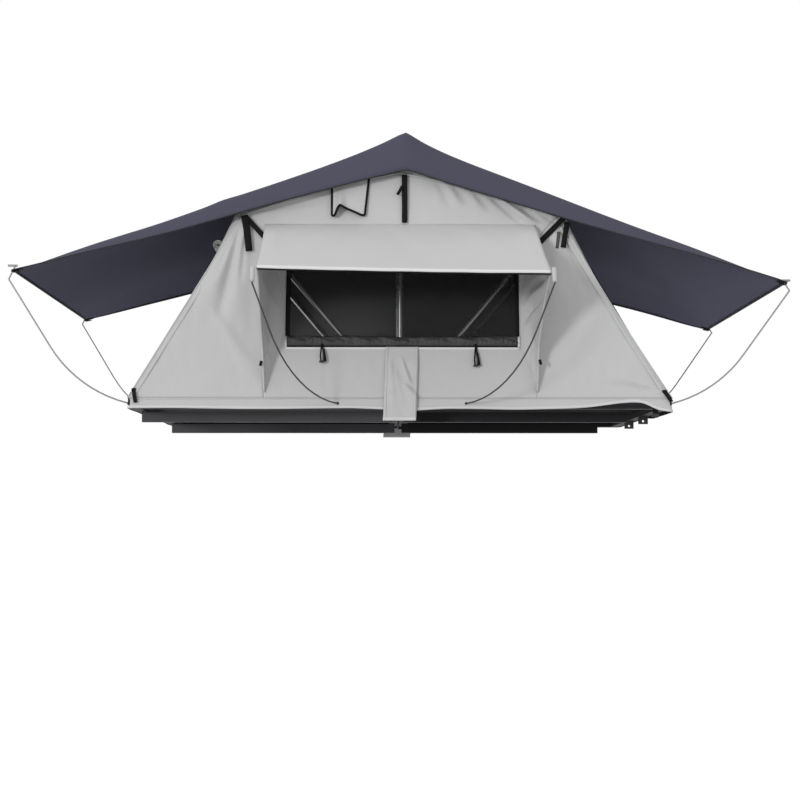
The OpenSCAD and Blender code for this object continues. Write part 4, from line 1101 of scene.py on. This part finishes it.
def hinge_flap(f, word):
    out = (0, f, 0)
    u, v = grid(np.linspace(0, 1, 31), np.linspace(0, 1, 61))
    x = mix(*FLAP_X, u) - 0.0115 * v + 0.004 * waves(place(v, v), 0.7, 90) * v
    z = mix(FLAP_TOP, FLAP_LOW, v)
    free = folds(x, z, FLAP_FOLDS) + 0.002 * waves(place(x, z), 0.12, 91)
    stand = 0.0052 + (free + 0.0032) * smooth(v / 0.2) + 0.007 * v**2
    stand = stand + 0.005 * smooth((u - 0.8) / 0.2) * smooth(v / 0.3)
    points = place(x, f * (WALL_Y + stand), z)
    piece = surface(f"fold_flap_{word}", points, CANVAS, flip=f < 0)
    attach(piece, "base_fixed")
    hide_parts(f"hinge_flap_{word}")
    foot = points[:, -1] + np.array([0, f * 0.0004, 0.008])
    hems = [sweep("hem", foot, out, band(0.016, 0.002), SOFT_HEM)]
    for column, inward in ((1, 0.003), (-2, -0.003)):
        path = points[column] + np.array([inward, f * 0.0003, 0])
        hems.append(sweep("hem", path, out, band(0.010, 0.0016), SEAM))
    hem = joined(f"fold_flap_{word}_hem", hems)
    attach(hem, "base_fixed")


# Vent hood

VENT_X = (-0.304, -0.140)
VENT_LEAN = 0.018
# Lower edge, as shares along it and heights
VENT_EDGE_U = (0, 0.03, 0.07, 0.12, 0.17, 0.25, 0.41, 0.66, 0.88, 0.95, 1)
VENT_EDGE_Z = (0.906, 0.900, 0.900, 0.910, 0.928, 0.941, 0.934, 0.919, 0.905, 0.903, 0.907)


def vent():
    u, v = grid(np.linspace(0, 1, 61), np.linspace(0, 1, 25))
    x = mix(VENT_X[0], VENT_X[1] - VENT_LEAN * v, u)
    z = mix(wall_top(x) + 0.002, np.interp(u, VENT_EDGE_U, VENT_EDGE_Z), v)
    stand = 0.006 + v * (0.008 + 0.036 * hump(u, 0.24, 0.13) * v + 0.010 * np.sin(np.pi * u))
    points = place(x, -WALL_Y - stand, z)
    piece = surface("vent_hood", points, CANVAS, flip=True)
    with_bow(piece)
    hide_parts("vent_flap")
    rim = np.concatenate([points[0, :], points[1:, -1], points[-1, -2::-1]])
    edge = sweep("vent_binding", rim, FRONT, band(0.010, 0.007, -0.0035), BINDING)
    with_bow(edge)


# Rolled door

ROLL_TURNS = 3
ROLL_CORE = 0.006
ROLL_SHIFT = (0.022, -0.012)
TIE_SHARES = np.array([-0.36, 0, 0.36])


def door_roll():
    low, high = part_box("door_roll")
    cx = (low.x + high.x) / 2 - FOLD_X + ROLL_SHIFT[0]
    cz = (low.z + high.z) / 2 + ROLL_SHIFT[1]
    radius, half = (high.z - low.z) / 2, high.y
    turn, y = grid(np.linspace(0, ROLL_TURNS * 2 * math.pi, 100), np.linspace(-half, half, 61))
    ties = TIE_SHARES * 2 * half
    pinch = sum(hump(y, k, 0.05) for k in ties)
    r = mix(ROLL_CORE, radius, turn / turn[-1, 0]) * (1 - 0.10 * pinch)
    r = r + 0.0015 * waves(place(y, turn * 0.03), 0.12, 95)
    sag = 0.010 * np.sin(np.pi * (y + half) / (2 * half)) ** 2
    points = place(cx + r * np.cos(turn), y, cz - r * np.sin(turn) - sag * (1 - pinch))
    piece = surface("rolled_door", points, CANVAS, thick=0.0016)
    with_half(piece, -1)
    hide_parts("door_roll")
    ring = np.linspace(0, 2 * math.pi, 29)[:-1]
    out = place(np.cos(ring), 0.0, np.sin(ring))
    bands = []
    for k in ties:
        path = out * (radius + 0.001) + np.array([cx, k, cz])
        bands.append(sweep("tie", path, out, band(0.025, 0.002, -0.002), WEBBING, closed=True))
    tie = joined("door_tie_straps", bands)
    with_half(tie, -1)
    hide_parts("door_ties")


# Small webbing pieces on the base

# Top and foot of the corner loops, as (x, z)
CORNER_LOOPS = {-1: ((-1.172, 0.128), (-1.162, 0.070)), 1: ((1.163, 0.122), (1.195, 0.074))}


def corner_tabs(s, word):
    (x1, z1), (x0, z0) = CORNER_LOOPS[s]
    tabs = []
    for f in (-1, 1):
        y = f * (WALL_Y + 0.004)
        middle = (mix(x1, x0, 0.5), y + f * 0.008, mix(z1, z0, 0.5))
        path = line([(x1, y, z1), middle, (x0, y + f * 0.004, z0)], 0.008)
        tabs.append(sweep("tab", path, (0, f, 0), band(0.017, 0.003), WEBBING))
        head = line([(x1 - 0.009, y, z1), (x1 + 0.009, y, z1 + 0.002)], 0.006)
        tabs.append(sweep("tab", head, (0, f, 0), band(0.010, 0.005), WEBBING))
    piece = joined(f"corner_loops_{word}", tabs)
    with_half(piece, s, squash=False)
    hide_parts(f"corner_tabs_{word}")


def closing_strap():
    """The closing strap, doubled over at its end."""
    low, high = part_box("closing_strap")
    x, y = (low.x + high.x) / 2 - FOLD_X, (low.y + high.y) / 2
    width = high.x - low.x
    path = line([(x, y, high.z), (x + 0.002, y, mix(low.z, high.z, 0.5)), (x, y, low.z + 0.002)], 0.006)
    tape = sweep("tape", path, BACK, band(width, 0.002, -0.001), WEBBING)
    end = line([(x, y, low.z + 0.008), (x, y, low.z + 0.001)], 0.003)
    fold = sweep("fold", end, BACK, band(width, 0.006, -0.003), WEBBING)
    piece = joined("closing_webbing", [tape, fold])
    with_half(piece, 1, squash=False)
    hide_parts("closing_strap")


# Mattress: rings as (share of the outline, height from the underside or from the top)

PAD_SQUARENESS = 9.0
PAD_DRAWN_IN = 0.007
PAD_UNDERSIDE = ((0.0, 0), (0.6, 0), (0.97, 0), (0.99, 0.004), (0.996, 0.010))
PAD_BELLY = 0.004
PAD_TOP = ((0.996, -0.018), (0.988, -0.009), (0.97, -0.004), (0.9, -0.0015), (0.6, 0), (0.3, 0), (0.0, 0))


def mattress(s, word):
    low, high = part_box(f"mattress_{word}")
    centre, reach = (low.x + high.x) / 2 - FOLD_X, (high.x - low.x) / 2
    middle = (low.z + high.z) / 2
    around = np.linspace(0, 2 * math.pi, 181)[:-1]

    def outline(grow):
        c, n = np.cos(around), np.sin(around)
        k = (np.abs(c) ** PAD_SQUARENESS + np.abs(n) ** PAD_SQUARENESS) ** (-1 / PAD_SQUARENESS)
        draw = PAD_DRAWN_IN * (1 - (np.minimum(np.abs(c * k), np.abs(n * k))) ** 2)
        return place(centre + (reach - draw) * c * k * grow, (high.y - draw) * n * k * grow)

    rings = [(grow, low.z + rise) for grow, rise in PAD_UNDERSIDE]
    rings.append((1.0, middle - PAD_BELLY))
    rings += [(grow, high.z + rise) for grow, rise in PAD_TOP]
    points = []
    for grow, z in rings:
        ring = outline(max(grow, 0.001))
        dimple = 0.0015 * waves(ring, 0.2, 101) if z > middle else 0
        points.append(place(ring[:, 0], ring[:, 1], z - np.abs(dimple)))
    points = np.array(points)
    points = np.concatenate([points, points[:, :1]], 1)
    piece = surface(f"mattress_{word}_pad", points, MATTRESS, thick=0)
    with_half(piece, s, squash=False)
    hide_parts(f"mattress_{word}")
    cords = []
    for grow, z in ((1.0, high.z - 0.013), (0.998, low.z + 0.007)):
        ring = outline(grow)
        out = unit(place(ring[:, 0] - centre, ring[:, 1], 0.0))
        path = place(ring[:, 0], ring[:, 1], z)
        cords.append(sweep("piping", path, out, cord_section(0.006, 6), BINDING, closed=True))
    with_half(joined(f"mattress_{word}_piping", cords), s, squash=False)


# Camera, light and floor

PHOTO_PX = 800
FOCAL_PX = 1397.7
SENSOR_MM = 36
CAMERA_AT = (FOLD_X - 0.067, -6.834, -0.399)
CAMERA_PITCH = math.radians(4.49)
CAMERA_YAW = math.radians(0.61)
WHITE = (1, 1, 1, 1)
WORLD_LIGHT = 0.92
SUN_LIGHT = 1.15
SUN_ANGLE = math.radians(9)
SUN_WAY = (0.64, 1.0, -0.05)
FLOOR_Z = -1.5
FLOOR_SIZE = 80
# The floor as it lights the object, and as it is seen
FLOOR_MATTE = (0.55, 0.55, 0.55, 1)
FLOOR_GLOW = 0.93
FLOOR_SHADED = (0.12, 0.12, 0.12, 1)


def camera():
    data = bpy.data.cameras.new("camera")
    data.sensor_width = SENSOR_MM
    data.lens = FOCAL_PX * SENSOR_MM / PHOTO_PX
    obj = bpy.data.objects.new("camera", data)
    obj.location = CAMERA_AT
    obj.rotation_euler = (math.pi / 2 + CAMERA_PITCH, 0, -CAMERA_YAW)
    bpy.context.scene.collection.objects.link(obj)
    bpy.context.scene.camera = obj


def seen_directly(add):
    """A socket that is 1 for camera, glossy and transmission rays."""
    path = add("LightPath").outputs
    first = add("Math", {0: path["Is Camera Ray"], 1: path["Is Glossy Ray"]}, operation="MAXIMUM")
    return add("Math", {0: first.outputs[0], 1: path["Is Transmission Ray"]}, operation="MAXIMUM").outputs[0]


def world():
    made = bpy.data.worlds.new("studio")
    bpy.context.scene.world = made
    made.use_nodes = True
    tree = made.node_tree
    add = node_adder(tree)
    light = tree.nodes["Background"]
    light.inputs["Color"].default_value = WHITE
    light.inputs["Strength"].default_value = WORLD_LIGHT
    seen = add("Background", {"Color": WHITE, "Strength": 1.0})
    choose = add("MixShader", {0: seen_directly(add), 1: light.outputs[0], 2: seen.outputs[0]})
    tree.links.new(choose.outputs[0], tree.nodes["World Output"].inputs[0])


def floor():
    bpy.ops.mesh.primitive_plane_add(size=FLOOR_SIZE, location=(FOLD_X, 0, FLOOR_Z))
    plane = bpy.context.object
    plane.name = "floor"
    made = bpy.data.materials.new("floor_white")
    made.use_nodes = True
    tree = made.node_tree
    tree.nodes.remove(tree.nodes["Principled BSDF"])
    add = node_adder(tree)
    matte = add("BsdfDiffuse", {"Color": FLOOR_MATTE})
    glow = add("Emission", {"Strength": FLOOR_GLOW})
    shaded = add("BsdfDiffuse", {"Color": FLOOR_SHADED})
    seen = add("AddShader", {0: glow.outputs[0], 1: shaded.outputs[0]})
    choose = add("MixShader", {0: seen_directly(add), 1: matte.outputs[0], 2: seen.outputs[0]})
    tree.links.new(choose.outputs[0], tree.nodes["Material Output"].inputs[0])
    plane.data.materials.append(made)


def lights():
    sun = bpy.data.lights.new("key", "SUN")
    sun.energy = SUN_LIGHT
    sun.angle = SUN_ANGLE
    key = bpy.data.objects.new("key", sun)
    key.rotation_euler = Vector(SUN_WAY).to_track_quat("-Z", "Y").to_euler()
    bpy.context.scene.collection.objects.link(key)


camera()
world()
floor()
lights()
finish_nodes()
walls(True)
walls(False)
roof()
for side, word in SIDES:
    end_wall(side, word)
    door_edge(side, word)
    skirt(side, word)
    corner_tabs(side, word)
    mattress(side, word)
corner_piping()
fly()
fly_tabs()
straps()
window()
awning()
hinge_flap(-1, "front")
hinge_flap(1, "back")
vent()
door_roll()
closing_strap()

bpy.context.scene.view_settings.view_transform = "Standard"
